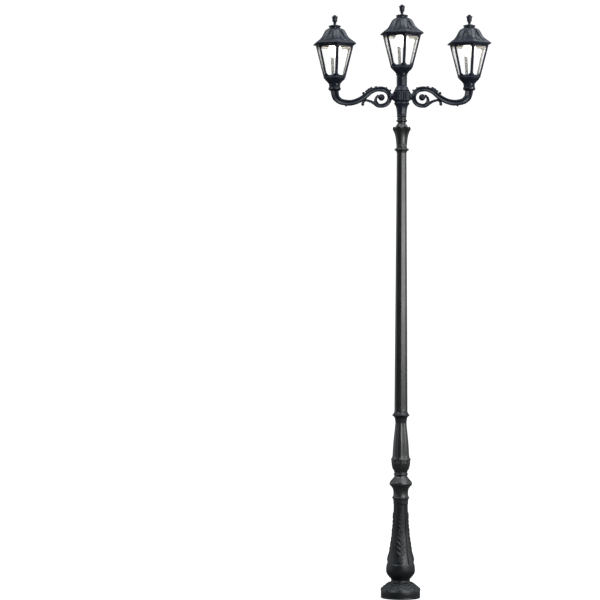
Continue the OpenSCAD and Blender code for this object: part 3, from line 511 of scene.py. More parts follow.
def glassMaterial():
    # clear pane with faint rain marks in its roughness
    material, tree, shader = newMaterial("paneGlass")
    spots = noiseAt(tree, objectPoint(tree), 60.0, 5.0)
    tint = remap(tree, spots, 0.3, 0.8, 1.0, 0.97)
    setInputs(tree, shader, {"Roughness": remap(tree, spots, 0.45, 0.75, 0.0, 0.05), "IOR": 1.3,
                             "Base Color": greyOf(tree, tint), "Transmission Weight": 1.0})
    return material


def lampMaterial(cool=(1.0, 0.97, 0.91), warm=(1.0, 0.94, 0.84), seen=1.15, cast=3.8):
    # lit opal globe: white and a warmer white in slow clouds; it looks dimmer than the light that it casts
    material, tree, shader = newMaterial("opalLamp")
    mask = remap(tree, noiseAt(tree, objectPoint(tree), 35.0), 0.3, 0.7)
    glow = mixColour(tree, mask, (*warm, 1), (*cool, 1))
    setInputs(tree, shader, {"Emission Color": glow, "Base Color": glow, "Roughness": 0.25,
                             "Emission Strength": remap(tree, seenDirectly(tree), 0, 1, cast, seen)})
    return material


# the cage's coat, with painted lamplight on its inner faces
cageCoat = paintLampLightInside(coated("cageCoat", **headLook), (0.5, 0.48, 0.44))
paneGlass = glassMaterial()
opalLamp = lampMaterial()
print("materials made")

# camera, floor and light
view = {"distance": 15.0, "height": 1.96, "yaw": 2.55, "roll": -0.15, "lens": 136.4}
studio = {  # of the area lights: place, target, width, height, power, colour; of the far ones: place, power, spread
    "boxes": {"keyLight": ((4.2, -4.9, 2.6), (0, 0, 2.4), 5.2, 2.0, 178, (1.0, 0.99, 0.98)),
              "roofLightRight": ((1.6, 0.35, 5.4), (0, 0, 3.8), 1.5, 1.5, 18, (0.93, 0.97, 1.0)),
              "roofLightLeft": ((-1.1, -0.6, 5.8), (0, 0, 3.8), 1.5, 1.5, 13, (0.88, 0.95, 1.0))},
    "suns": {"topLight": ((4, -5, 9), 0.9, 36, (0.93, 0.97, 1.0)),
             "leftLight": ((-6, -4.5, 7), 0.6, 24, (0.85, 0.93, 1.0))},
    # sky: strength low down and overhead, glows of [direction, sharpness, strength], and what is seen
    "low": 0.006, "overhead": 0.35, "seen": 0.98, "skyColour": (0.96, 0.98, 1, 1),
    "glows": [((-0.93, 0.25, 0.12), 4, 0.8), ((0.95, 0.05, 0.2), 2.5, 0.7)],
    # floor: tones and glow where it is seen, and where it only lights the post
    "floorTones": (0.5, 0.55), "floorBounce": 0.09, "floorGlow": (0.035, 0.8)}


def addObject(name, data, place=(0, 0, 0), aim=None):
    # an object at a place, with its -Z pointing at its aim if it has one
    obj = bpy.data.objects.new(name, data)
    obj.location = place
    if aim is not None:
        obj.rotation_euler = (Vector(aim) - Vector(place)).to_track_quat("-Z", "Y").to_euler()
    scene.collection.objects.link(obj)
    return obj


def makeCamera():
    data = bpy.data.cameras.new("camera")
    data.lens, data.sensor_width, data.clip_end = view["lens"], 36.0, 200.0
    camera = addObject("camera", data, (0, -view["distance"], view["height"]))
    camera.rotation_euler = (math.radians(90), math.radians(view["roll"]), math.radians(view["yaw"]))
    scene.camera = camera


def sweepFloor():
    # floor that curves up into a wall behind: a profile carried along X
    a = np.linspace(0, np.pi / 2, 25)
    y = np.concatenate([[-40], 14 + 8 * np.sin(a), [22]])
    z = np.concatenate([[0], 8 - 8 * np.cos(a), [30]])
    points = np.stack(np.broadcast_arrays(np.linspace(-14, 14, 3)[None, :], y[:, None], z[:, None]), -1)
    verts, quads = grid(points, wrapCols=False)[:2]
    mesh = bpy.data.meshes.new("floor")
    mesh.from_pydata(verts.tolist(), [], quads.tolist())
    mesh.polygons.foreach_set("use_smooth", np.ones(len(quads), bool))
    material, tree, shader = newMaterial("paleFloor")
    tone = remap(tree, noiseAt(tree, objectPoint(tree), 0.4), 0, 1, *studio["floorTones"])
    seen = seenDirectly(tree)
    setInputs(tree, shader, {"Base Color": greyOf(tree, remap(tree, seen, 0, 1, studio["floorBounce"], tone)),
                             "Roughness": 0.9, "Specular IOR Level": 0.0, "Emission Color": (1, 1, 1, 1),
                             "Emission Strength": remap(tree, seen, 0, 1, *studio["floorGlow"])})
    mesh.materials.append(material)
    addObject("floor", mesh)


def makeLights():
    # rectangular lights that look at a target, and far ones whose rays come from a place towards the post
    for name, (place, target, width, height, power, colour) in studio["boxes"].items():
        light = bpy.data.lights.new(name, "AREA")
        light.shape = "RECTANGLE"
        light.size, light.size_y, light.energy, light.color = width, height, power, colour
        addObject(name, light, place, target)
    for name, (place, power, spread, colour) in studio["suns"].items():
        light = bpy.data.lights.new(name, "SUN")
        light.angle, light.energy, light.color = math.radians(spread), power, colour
        addObject(name, light, place, (0, 0, 0))


def paleWorld():
    # what shows behind the post is even white; what lights it is dim low down and brighter overhead,
    # with a soft glow round each direction
    world = bpy.data.worlds.new("studio")
    world.use_nodes = True
    scene.world = world
    tree = world.node_tree
    way = addNode(tree, "ShaderNodeTexCoord", {}).outputs["Generated"]
    up = addNode(tree, "ShaderNodeSeparateXYZ", {0: way}).outputs["Z"]
    lit = addNode(tree, "ShaderNodeMapRange", {0: up, 1: 0.15, 2: 1.0, 3: studio["low"], 4: studio["overhead"]},
                  interpolation_type="SMOOTHSTEP").outputs[0]
    for direction, sharpness, strength in studio["glows"]:
        near = vectorNode(tree, "DOT_PRODUCT", {0: way, 1: Vector(direction).normalized()})["Value"]
        glow = mathNode(tree, "POWER", mathNode(tree, "MAXIMUM", near, 0.0), sharpness)
        lit = mathNode(tree, "ADD", lit, mathNode(tree, "MULTIPLY", glow, strength))
    strength = remap(tree, seenDirectly(tree), 0, 1, lit, studio["seen"])
    setInputs(tree, tree.nodes["Background"], {"Strength": strength, "Color": studio["skyColour"]})


makeCamera()
sweepFloor()
makeLights()
paleWorld()
scene.view_settings.view_transform = "Standard"
print("stage made")

# foot: straight edge, then a dome with hanging leaves
foot = {"radius": 129.5, "edge": 46, "waist": 62.4, "plateR": 116.3, "leaves": 8,
        "relief": 6.0, "form": [[1, 0], [0.98, 0.12], [0.86, 0.27], [0.48, 0.54], [0.1, 0.78], [0, 0.88], [0, 1]],
        # leaves: foot of the stalk above the edge, length, half width, lobes
        "leaf": (57, 54, 33, 4), "smallLeaf": (52, 38, 18, 3)}


def hanging(across, up, stalk, length, width, lobes):
    # a leaf that hangs from its stalk
    return leaf(across, (stalk - up) / length, width, lobes)


def footRelief(angle, z, r):
    # leaves whose tips hang to the edge, a bead over the straight edge, two grooves round it
    across = np.radians(around(angle, foot["leaves"])) * r
    between = np.radians(around(angle, foot["leaves"], -90 + 180 / foot["leaves"])) * r
    up = z - foot["edge"]
    leaves = hanging(across, up, *foot["leaf"]) + 0.7 * hanging(between, up, *foot["smallLeaf"])
    lines = 1.0 * ridge(up - 1, 2.0) - 1.2 * ridge(z - 12, 1.5) - 1.0 * ridge(up + 4, 1.4)
    return foot["relief"] * leaves * ease(up, -1, 8) + lines - 1.5 * band(up, 1, 6, 30, 50)


def makeFoot():
    # profile turned round Z over the base plate's hollow, pushed out by the leaves
    r, edge, top, plate = foot["radius"], foot["edge"], heightOf["foot"], foot["plateR"]
    dome = evenly(curve(shares(foot["form"], foot["waist"], r, edge, top - edge), 8), 1.6)
    outer = np.vstack([[[r - 3, 0]], split([[r - 0.8, 0.8], [r, 3]], 1.5),
                       split([[r, 5], [r, edge - 2]], 1.6), dome])
    inner = np.vstack([[[plate, 0], [plate, 10], [plate - 7, 10.1], [plate - 7, edge - 4], [55, top - 26]],
                       bore(top - 12, top)])
    addPiece("foot_dome", casting(outer, inner, 320, footRelief), baseCoat, "foot_cover")


# bell with four panels, and its service cover from the same surface
bell = {"z": levelOf["bell"], "height": heightOf["bell"], "radius": 95.7, "neck": 48.8, "wall": 7, "seatH": 12,
        "panelDepth": 2.2, "panelAngle": 37, "panelLow": 106, "panelHigh": 500, "coverAngle": 33.5,
        "coverLow": 96, "coverHigh": 430, "coverT": 4, "gap": 0.8, "lip": 14, "lipAngle": 7,
        "form": [[0.28, 0], [0.34, 0.012], [0.7, 0.048], [0.95, 0.087], [1, 0.125], [0.91, 0.2],
                 [0.65, 0.317], [0.39, 0.469], [0.16, 0.622], [0.03, 0.851], [0, 1]],
        # ornament: its relief, the rosette's and bud's heights, the slant of the leaf pairs on the stem, and
        # the pairs' heights, lengths and half widths
        "ornament": 4.6, "rosetteZ": 325, "budZ": 412, "slant": 42,
        "pairs": [[162, 42, 10], [196, 42, 10], [230, 40, 9.5], [264, 36, 8.5], [294, 28, 7], [348, 24, 6],
                  [376, 22, 5.5], [402, 18, 4.5]]}


def bellRadius(z):
    # radius of the plain bell at a height, read off its smooth profile
    line = curve(shares(bell["form"], bell["neck"], bell["radius"], bell["z"], bell["height"]), 8)
    return np.interp(z, line[:, 1], line[:, 0])


def ornament(x, z):
    # stem with rising leaf pairs, a rosette and a bud, for one panel; x is across it and z up from the bell's foot
    c, s = math.cos(math.radians(bell["slant"])), math.sin(math.radians(bell["slant"]))
    shape = 0.55 * ridge(x, 2.2) * band(z, 126, 134, 430, 436) + leaf(x, (z - 120) / 48, 18, 3)
    for z0, length, width in bell["pairs"]:
        for side in (-1, 1):
            up = ((z - z0) * c + side * x * s) / length
            shape = np.maximum(shape, leaf(side * x * c - (z - z0) * s, up, width, 3))
    middle = z - bell["rosetteZ"]
    away, lobes = np.hypot(x, middle), np.cos(5 * np.arctan2(middle, x))
    rosette = ease(14.5 + 2.5 * lobes - away, 0, 3) * (0.7 + 0.3 * lobes)
    shape = np.maximum(shape, rosette) + 0.5 * ridge(away, 4)
    return np.maximum(shape, leaf(x, (z - bell["budZ"]) / 30, 7.5, 2))


def bellRelief(angle, z, r):
    # recessed panels between ribs with beaded edges, and the ornament in each panel
    off = around(angle, 4)
    z = z - bell["z"]
    low, high = bell["panelLow"], bell["panelHigh"]
    edge = np.radians(bell["panelAngle"] - np.abs(off)) * r
    inPanel = ease(edge, 0, 2.5) * band(z, low - 8, low, high - 3, high)
    rib = 1.6 * ridge(edge + 2.2, 1.7) + 1.0 * ridge(edge + 0.5 * np.radians(16) * r, 2.4)
    sill = 0.3 * ridge(z - low + 6, 2.4) * ease(edge, -6, -2)
    shape = ornament(np.radians(off) * r, z) * inPanel
    return (rib * band(z, 75, 110, 502, 510) + sill - bell["panelDepth"] * inPanel
            + bell["ornament"] * shape * ease(edge, 2, 8))


def bellPoint(angles, z, inset=0.0, relief=True):
    # points of the bell's surface over a lattice of angles and heights
    a, h = np.broadcast_arrays(angles[None, :], z[:, None])
    r = bellRadius(h)
    return sheet(r + (bellRelief(a, h, r) if relief else 0) - inset, a, h)


def lattice(stops, step):
    # numbers from the first stop to the last, about a step apart, with each stop at an even place
    counts = [2 * max(1, round((b - a) / step / 2)) for a, b in zip(stops[:-1], stops[1:])]
    parts = [np.linspace(a, b, n + 1)[:-1] for a, b, n in zip(stops[:-1], stops[1:], counts)]
    return np.concatenate(parts + [[stops[-1]]])


def stitch(fine, coarse):
    # closed strip from a loop of points to one of half as many, three faces to each pair of fine edges
    n = len(coarse)
    k = np.arange(n)
    a, b, c, d, e = 2 * k, 2 * k + 1, (2 * k + 2) % (2 * n), 2 * n + k, 2 * n + (k + 1) % n
    tris = np.vstack([np.stack(corners, 1) for corners in ((a, b, d), (b, c, e), (b, e, d))])
    return np.vstack([fine, coarse]), noQuads, tris


def makeBell():
    # an outer sheet with the cover's opening, a ledge behind it and a coarser inner sheet with the lip's opening
    z0, top, seat, edge = bell["z"], bell["z"] + bell["height"], bell["seatH"], bell["lip"]
    cover, lip = bell["coverAngle"], bell["coverAngle"] - bell["lipAngle"]
    low, high = z0 + bell["coverLow"], z0 + bell["coverHigh"]
    degrees = lattice([-cover, -lip, lip, cover, 360 - cover], 0.92)[:-1]
    z = lattice([z0, z0 + seat, low, low + edge, high - edge, high, top - seat, top], 2.5)
    angles = np.radians(degrees - 90)
    outer = bellPoint(angles, z)
    ledge = bellPoint(angles, z, bell["coverT"] + 0.3, False)
    inner = bellPoint(angles[::2], z[::2], bell["wall"], False)
    seated = (z[::2] <= z0 + seat) | (z[::2] >= top - seat)
    inner[seated, :, :2] *= (post["boreR"] / np.linalg.norm(inner[seated, :, :2], axis=-1))[..., None]

    def cells(step):
        # faces of the lattice, or of every second line of it, and which lie in the cover and in its lip
        h, d = z[::step], degrees[::step]
        midZ, midA = np.repeat((h[:-1] + h[1:]) / 2, len(d)), np.tile(d + 0.1, len(h) - 1)
        inCover = (midZ > low) & (midZ < high) & (midA < cover)
        inLip = (midZ > low + edge) & (midZ < high - edge) & (midA > -lip) & (midA < lip)
        return quadsOf(len(h), len(d), False, True), inCover, inLip

    def openingLoop(halfAngle, low, high):
        # places in the lattice round an opening's four edges
        i0, i1 = np.argmin(abs(z - low)), np.argmin(abs(z - high))
        j0, j1 = np.argmin(abs(degrees + halfAngle)), np.argmin(abs(degrees - halfAngle))
        across, up = np.arange(j0, j1), np.arange(i0, i1)
        return (np.concatenate([0 * across + i0, up, 0 * across + i1, up[::-1] + 1]),
                np.concatenate([across, 0 * up + j1, across[::-1] + 1, 0 * up + j0]))

    quads, inCover, inLip = cells(1)
    wide, _, inWideLip = cells(2)
    i, j = openingLoop(cover, low, high)
    i2, j2 = openingLoop(lip, low + edge, high - edge)
    addPiece("bell_body", weld(merge(
        (outer.reshape(-1, 3), quads[~inCover], noTris),
        (ledge.reshape(-1, 3), quads[inCover & ~inLip], noTris),
        flipped((inner.reshape(-1, 3), wide[~inWideLip], noTris)),
        flipped(stitch(outer[0], inner[0])), stitch(outer[-1], inner[-1]),
        grid(np.stack([outer[i, j], ledge[i, j]])),
        stitch(ledge[i2, j2], inner[i2[::2] // 2, j2[::2] // 2]))), baseCoat, "base_body")

    half = cover - 0.5 * bell["gap"]
    a = np.radians(np.linspace(-half, half, 76) - 90)
    z = np.linspace(low + bell["gap"], high - bell["gap"], 190)
    addPiece("bell_cover", slab(bellPoint(a, z), bellPoint(a, z, bell["coverT"], False)),
             baseCoat, "service_cover", "cover")


# knop casting: ring, waist, sharp knop and a small bead on top
knop = {"neck": 48.8, "radius": 75, "lobes": 8, "lobeRelief": 0.9}


def makeKnop():
    # ring, waist, the slopes under and over the knop and a bead, turned round Z on the bore
    n, k, z = knop["neck"], knop["radius"], levelOf["knop"]
    waist = curve([[n + 2.6, 30], [n + 1, 38], [n, 50], [n + 0.5, 66], [n + 5, 82]], 5)
    under = curve([[n + 6.5, 84], [n + 14, 95], [k - 3, 104], [k, 114]], 5)
    over = curve([[k, 114], [k - 2.5, 124], [k - 10, 133], [k - 19, 143], [n - 4, 158], [n - 5.8, 168]], 6)
    outer = np.vstack([[[n, 0], [n + 1.5, 4], [n + 2, 9], [n + 2.6, 13]], bead(n + 2.6, 14, 15, 5.6), waist, under,
                       over[1:], bead(n - 5.6, 171, 11, 4.5), [[n - 5.8, heightOf["knop"]]]])

    def relief(angle, height, r):
        # shallow lobes on the slope above the knop
        lobe = np.cos(np.radians(around(angle, knop["lobes"])) * knop["lobes"])
        return knop["lobeRelief"] * lobe * band(height - z, 124, 134, 150, 166)

    addPiece("knop_ring", standing("knop", outer, 192, relief), columnCoat, "lower_collar")


# baluster: leaf cup, then flutes up to the ring
baluster = {"radius": 58.7, "neck": 37.4, "flutes": 16, "fluteDepth": 1.4, "cupRelief": 3.6, "lipRelief": 3.0,
            "form": [[0.15, 0], [0.25, 0.03], [0.7, 0.08], [0.96, 0.16], [1, 0.25], [0.85, 0.31],
                     [0.73, 0.43], [0.57, 0.57], [0.3, 0.73], [0.04, 0.88], [0, 0.94], [0.14, 1]]}


def balusterRelief(angle, z, r):
    # hollow flutes between arrises, with round lower ends, and two rows of leaves at the foot
    n = baluster["flutes"]
    across = np.radians(around(angle, n, -90 + 180 / n)) * r
    half = np.pi * r / n
    up = z - levelOf["baluster"]
    ends = ease(up - 84 - 0.06 * across**2, 0, 6) * (1 - ease(up + 0.04 * across**2, 326, 336))
    flute = np.clip(1 - (across / (half - 0.8)) ** 2, 0, 1) ** 0.8 * ends
    first, second = (np.radians(around(angle, 8, start)) * r for start in (-90, -90 + 22.5))
    cup = np.maximum(leaf(first, up / 92, 21, 4), 0.8 * leaf(second, up / 76, 17, 4))
    lip = ridge(up - 86, 7) * ridge(first, 9)
    return baluster["cupRelief"] * cup + baluster["lipRelief"] * lip - baluster["fluteDepth"] * flute


def makeBaluster():
    # swelling profile turned round Z, cut by the flutes
    b = baluster
    outer = evenly(curve(shares(b["form"], b["neck"], b["radius"], 0, heightOf["baluster"]), 8), 2.0)
    addPiece("baluster_body", standing("baluster", outer, 384, balusterRelief), columnCoat, "baluster")


# ring and eight sided shaft with hollow faces
shaft = {"lowR": 43.4, "topR": 32.2, "bore": 27, "hollow": 1.7, "ringR": 58, "endH": 70, "flatness": 0.92}


def makeShaft():
    # the ring's profile turned round Z, then a straight taper with nearly eight sided rows
    s, ring, length, z = shaft, shaft["ringR"], heightOf["shaft"], levelOf["shaft"]
    outer = np.vstack([[[s["lowR"] - 4, 0]], curve([[40, 1], [42, 8], [47, 15], [ring - 1.5, 22]], 5),
                       [[ring, 24], [ring, 26]], curve([[ring - 1.5, 27.5], [51, 34], [47, 40], [45, 44.5]], 5),
                       [[s["lowR"] + 0.5, heightOf["ring"]]]])
    addPiece("shaft_ring_turned", standing("ring", outer, 128), baseCoat, "shaft_ring")

    def relief(angle, height, r):
        # each face is hollowed between its arrises, with a round end near both rings
        off = faceShare(angle)
        up, down = height - z, z + length - height
        reach = np.minimum(ease(up - 34 * off**2, 8, 20), ease(down - 30 * off**2, 8, 20))
        depth = s["hollow"] * (1 - 0.45 * up / length)
        return -depth * np.clip(1 - off**2, 0, 1) ** 0.8 * reach

    low = np.linspace(0, s["endH"], 46)
    heights = np.concatenate([low, np.linspace(s["endH"], length - s["endH"], 60)[1:-1], length - low[::-1]])
    outer = np.stack([s["lowR"] + (s["topR"] - s["lowR"]) * heights / length, z + heights], 1)
    tube = casting(outer, bore(z, z + length, s["bore"]), 192, relief, s["flatness"], 8, -90)
    addPiece("shaft_fluted", tube, shaftCoat, "shaft")


# capital: ring, scalloped tulip, cone, disc and band
capital = {"ringR": 48, "rimR": 61.6, "lowR": 34.7, "tulipZ": 41, "rimZ": 170, "drop": 17, "hollow": 2.4,
           "rib": 1.2,
           "rise": [[0, 0], [0.02, 0.16], [0.06, 0.3], [0.13, 0.45], [0.25, 0.6], [0.42, 0.74], [0.66, 0.88],
                    [0.9, 0.97], [1, 1]],
           "cone": [[50, 159], [44, 168], [38, 177.5], [31, 188], [27.4, 192], [26.6, 194], [26.6, 200],
                    [28, 202.5], [33, 204.5]]}


def makeCapital():
    # rows round Z, upwards outside and down inside: stem, tulip, back of its rim, cone and bore
    c, count, top = capital, 192, heightOf["capital"]
    stem = np.vstack([[[32.2, 0], [33, 1]], bead(33.5, 4, 8, 3.2, 7), bead(34.2, 12, 17, c["ringR"] - 34.2, 13),
                      bead(34.2, 30, 6, 2.6, 7), [[34, c["tulipZ"]]]])
    # tulip: a rise under each of eight petals, hollow between ribs, with its rim cut down between petals
    share = evenly(curve(c["rise"], 6), 0.02)
    a = circle(count)
    off = np.abs(faceShare(a))
    u = share[:, 1:2]
    rise = u * (c["rimZ"] - c["drop"] * off**2.2 - c["tulipZ"])
    radius = c["lowR"] + (c["rimR"] - c["lowR"]) * share[:, :1] * (1 - 0.10 * off**2)
    hollow = c["hollow"] * (1 - off**2) * ease(rise - 16 * off**2, 2, 14) * (1 - 0.75 * u**3)
    rib = c["rib"] * ridge((1 - off) * 13, 2.2) * ease(u, 0.05, 0.2)
    radius = hexRadius(radius, a, 0.75, 8, -90) - hollow + rib
    height = c["tulipZ"] + rise
    # inside of the rim, then the cone up to the neck
    inside = [sheet(radius[-1:] - back, a, height[-1:] + lift)
              for lift, back in ((1.2, 1.6), (0.6, 4.2), (-3.0, 7.0))]
    neck = np.vstack([c["cone"], bead(33.4, 205, 11, 2.6, 7), [[31, 217.4], [28, 218.2]], bead(28, 219, 15, 2.2, 7),
                      [[29, top]]])
    points = np.concatenate([ringOf(stem, count), sheet(radius, a, height), *inside, ringOf(neck, count),
                             ringOf(bore(top, 0), count)])
    addPiece("capital_tulip", placed(grid(points, wrapRows=True), 0, (0, 0, levelOf["capital"])), shaftCoat,
             "capital")


# head: stem, ribbed hub and the stem of the centre lantern
head = {"ribs": 24, "ribRelief": 1.9, "rootR": 21, "rootBore": 6, "rootEnd": 58, "spigotR": 30, "spigotBore": 21.15,
        "spigotH": 40, "stem": [[31.4, 15], [33, 30], [35, 50], [39.5, 68], [46, 80]],
        "topStem": [[43.4, 0], [42.4, 5], [39.4, 10], [36, 14], [34.6, 19], [34.6, 73]]}


def makeHead():
    # three profiles turned round Z: fluted stem, ribbed hub with a cross bar, top stem with spigot
    h, z = head, levelOf["stem"]
    outer = np.vstack([bead(31, 0.2, 8, 2.0, 7), [[30.6, 10], [31.4, 13]], evenly(curve(h["stem"], 6), 1.5),
                       bead(46.5, 82, 13, 4.5, 9), [[45, 98.2], [44, heightOf["stem"]]]])
    facets = hollows(1.6, z + 14, z + 20, z + 74, z + 82)
    addPiece("head_stem_turned", standing("stem", outer, 160, facets), headCoat, "head_stem")

    def ribs(angle, height, r):
        # upright ribs round the barrel with rounded ends
        wave = np.cos(np.radians(around(angle, h["ribs"])) * h["ribs"])
        return h["ribRelief"] * wave * band(height - levelOf["hub"], 6, 12, 64, 70)

    outer = np.vstack([bead(46.5, 0.2, 5, 2.2, 7), split([[50, 6], [54.6, 9]], 1.2),
                       split([[55.4, 12], [55.6, 62], [54.4, 68]], 2.0), [[51, 70.5], [48.4, 72]],
                       bead(47.6, 72.6, 6.4, 3.2, 7), curve([[47, 80], [45.4, 84], [44, heightOf["hub"]]], 2)])
    r, end = h["rootR"], h["rootEnd"]
    roots = casting([[r - 2, -end], [r, 2 - end], [r, end - 2], [r - 2, end]], bore(-end, end, h["rootBore"]), 64)
    addPiece("hub_ribbed", merge(standing("hub", outer, 192, ribs), aimed(roots, (0, 0, post["armZ"]), (1, 0, 0))),
             headCoat, "hub")

    z, top, r = levelOf["topStem"], heightOf["topStem"], h["spigotR"]
    outer = np.vstack([evenly(curve(h["topStem"], 8), 1.8), [[35.4, top - 10], [35.4, top - 7.5], [33.2, top - 6]],
                       [[32.6, top - 3], [32.6, top], [r, top + 0.1]],
                       [[r, top + h["spigotH"] - 1], [r - 1, top + h["spigotH"]]]])
    inner = np.vstack([bore(0, top - 9.5), bore(top - 9.4, top + h["spigotH"], h["spigotBore"])])
    flutes = hollows(1.9, z + 6, z + 16, z + top - 16, z + top - 8)
    addPiece("top_stem_turned", casting(outer + [0, z], inner + [0, z], 160, flutes), headCoat,
             "top_stem")


makeFoot()
makeBell()
makeKnop()
makeBaluster()
makeShaft()
makeCapital()
makeHead()
print("column made")

# arms: lines are rows of x, z and thickness; the elbow's are millimetres from the sleeve's foot, the
# scroll's are shares of its radius from its middle, and thicknesses are shares of the bar's radius
arm = {"radius": 19, "depth": 0.85, "scrollR": 55, "scrollX": 134, "scrollZ": levelOf["hub"] + 30, "eye": 22,
       "collarR": 41, "rootR": 23, "rootX": 56,
       "elbow": [[0, -24, 1.5], [-2, -47, 1.44], [-9, -73, 1.36], [-23, -89, 1.25], [-40, -101, 1.13],
                 [-70, -108, 1.07], [-101, -110, 1.05], [-133, -104, 1.02], [-165, -91, 1]],
       "rise": [[1.93, 0.16, 0.95], [1.27, 0.71, 0.92], [0.56, 0.98, 0.85]],
       "curl": [[0.35, -0.93, 0.7], [0.62, -0.64, 0.66], [0.7, -0.3, 0.56], [0.57, 0.03, 0.48], [0.3, 0.25, 0.45]],
       "branch": [[0.2, -1.06, 0.62], [0.5, -0.94, 0.66], [0.8, -0.74, 0.6], [1.2, -0.52, 0.5], [1.57, -0.39, 0.45],
                  [1.92, -0.33, 0.45], [2.16, -0.5, 0.5], [2.24, -0.76, 0.5]],
       # balls on the scroll and under the elbow
       "nubs": [[2.15, 0.51, 0.5], [2.24, -0.82, 0.56], [-1.07, 0.85, 0.37], [-0.6, 1.16, 0.3]],
       "elbowNub": [[-76, -129, 0.37]],
       # leaf tips along the rise and under the scroll: x, height over its middle, radius, stretch
       "tips": [(232, 42, 7.5, 1.5), (218, 54, 7, 1.6), (203, 62, 7, 1.5), (172, 69, 6, 1.6), (175, -39, 12, 1.1),
                (163, -45, 10, 1.2)]}


def atElbow(rows):
    # rows beside the sleeve's foot as x, z and radius
    return np.array(rows, float) * [1, 1, arm["radius"]] + [post["reach"], post["sideZ"], 0]


def atScroll(rows):
    # rows about the scroll's middle as x, z and radius
    scale = [arm["scrollR"], arm["scrollR"], arm["radius"]]
    return np.array(rows, float) * scale + [arm["scrollX"], arm["scrollZ"], 0]


def swept(path, count, section):
    # a section carried along [x, z, radius] rows in the XZ plane; section gives across and deep shares
    way = np.gradient(path[:, :2], axis=0)
    way = way / np.linalg.norm(way, axis=1)[:, None]
    across, deep = section(circle(count), path[:, 2:3])
    points = np.stack([path[:, :1] + way[:, 1:] * across, deep, path[:, 1:2] - way[:, :1] * across], -1)
    return grid(points, caps=True)


def bandSection(a, r):
    # squarish bar: channel with raised edges on both flat faces, ridges on the narrow ones
    c, s = np.cos(a), np.sin(a)
    box = 1 / (np.abs(c) ** 3.2 + np.abs(s) ** 3.2) ** (1 / 3.2)
    across, deep = r * box * c, arm["depth"] * r * box * s
    flat = ease(np.abs(s), 0.5, 0.75)
    channel = ridge(across / (0.52 * r), 1.0) ** 3 * flat
    rim = ridge((np.abs(across) - 0.62 * r) / (0.14 * r), 1.0) * flat
    deep = deep - np.sign(s) * (0.3 * channel - 0.1 * rim) * r
    across = across - np.sign(c) * ease(np.abs(c), 0.6, 0.85) * 0.07 * r * ridge(deep / (0.35 * r), 1.0)
    return across, deep


def makeArm():
    # two tapering bars swept along scroll and branch, with balls, eye, root block and collar
    a = arm
    t = np.radians(np.arange(90, 271, 30))
    loop = np.stack([np.cos(t), np.sin(t), 0.95 - 0.2 * (t - t[0]) / np.pi], 1)
    path = np.vstack([atElbow(a["elbow"]), atScroll(np.vstack([a["rise"], loop, a["curl"]]))])
    parts = [swept(evenly(curve(path, 8), 2.2), 56, bandSection),
             swept(evenly(curve(atScroll(a["branch"]), 6), 2.0), 28, bandSection)]
    parts += [ball(r, (x, 0, z)) for x, z, r in np.vstack([atScroll(a["nubs"]), atElbow(a["elbowNub"])])]

    def petals(angle, z, r):
        # rosette round both faces of the scroll's eye
        return 1.6 * np.cos(6 * angle) * ridge((r - 14) / 6, 1.0)

    eye = lathe(arcLine(a["eye"], a["eye"], -np.pi / 2, np.pi / 2, 33)[1:-1], 60, petals)
    parts.append(aimed(eye, (a["scrollX"], 0, a["scrollZ"]), (0, 1, 0)))
    # root block against the hub, then the collar with its spigot
    r = a["rootR"]
    root = curve([[r - 1, 0], [r, 1.5], [r - 1, 6], [r - 2, 12], [r, 24]], 4)
    parts.append(aimed(casting(root, bore(0, 24, head["rootBore"]), 48), (a["rootX"], 0, post["armZ"]), (1, 0, 0)))
    r = a["collarR"]
    collar = np.vstack([[[20, -35], [27, -34]], curve([[30, -31], [36, -28], [39, -26]], 3),
                        bead(r - 3, -25, 16, 3.0), [[r - 4.5, -8]], bead(r - 5, -7.5, 6.5, 1.4, 7),
                        [[r - 5, 0], [31, 0], [30, 0.1], [30, 38.5], [28.8, 40]]])
    parts.append(placed(casting(collar, bore(-35, 40, 14), 96), 0, (post["reach"], 0, post["sideZ"])))
    for x, up, r, stretch in a["tips"]:
        parts.append(aimed(ball(r, count=20, squash=stretch), (x, 0, a["scrollZ"] + up),
                           (-1, 0, 0.55 if up > 0 else -0.4)))
    return merge(*parts)


armPatch = makeArm()
addPiece("arm_scroll_right", armPatch, headCoat, "arm_right")
addPiece("arm_scroll_left", mirrored(armPatch), headCoat, "arm_left")
print("arms made")

# lantern: pieces are drawn about its own axis, with corners at 0, 60 ... degrees
lantern = {"sillZ": 57, "sillR": 78, "railZ": 270, "railR": 135, "barT": 6, "barW": 12.2, "lowRail": 13,
           "topRail": 14, "boss": 9, "hinge": 210, "lock": 30, "lockA": 111.5, "lockSeat": 295, "lockEnd": 264.5,
           "pinA": 123.013, "pinZ": 266, "knuckle": 5.3, "lugW": 38, "cageLug": 10, "lugGap": 0.5}
# how far the faces lean out from upright
lean = math.atan((lantern["railR"] - lantern["sillR"]) * math.cos(math.pi / 6)
                 / (lantern["railZ"] - lantern["sillZ"]))
hingePlace, hingeWay = polar(lantern["pinA"], lantern["hinge"], lantern["pinZ"]), polar(1, lantern["hinge"] + 90)


def atLantern(patch, side):
    # a patch of one lantern, turned and stood on its spigot
    z = levelOf["top"] if side == "centre" else post["sideZ"]
    return placed(patch, post["lanternTurn"], (sides[side] * post["reach"], 0, z))


def knuckle(length, hole, shift=0.0):
    # eye of the hinge, at a place along its pin
    return aimed(barrel(length, lantern["knuckle"], 0.6, hole), hingePlace + shift * hingeWay, hingeWay)


# heights are over the foot of the sleeve; rimHex says how far each row of the rim is six sided
cup = {"arches": 8, "archRise": 34.0, "archRelief": 1.3,
       "sleeve": [[35.6, 7.6], [36.2, 8.6], [36.4, 12], [38.2, 14.6]],
       "rim": [[66, 50.2], [71, 51], [77, 51.4], [78, 52.2], [78, 56], [77.2, 57], [40, 57], [8, 57]],
       "rimHex": [0, 0.55, 1, 1, 1, 1, 0.5, 0]}


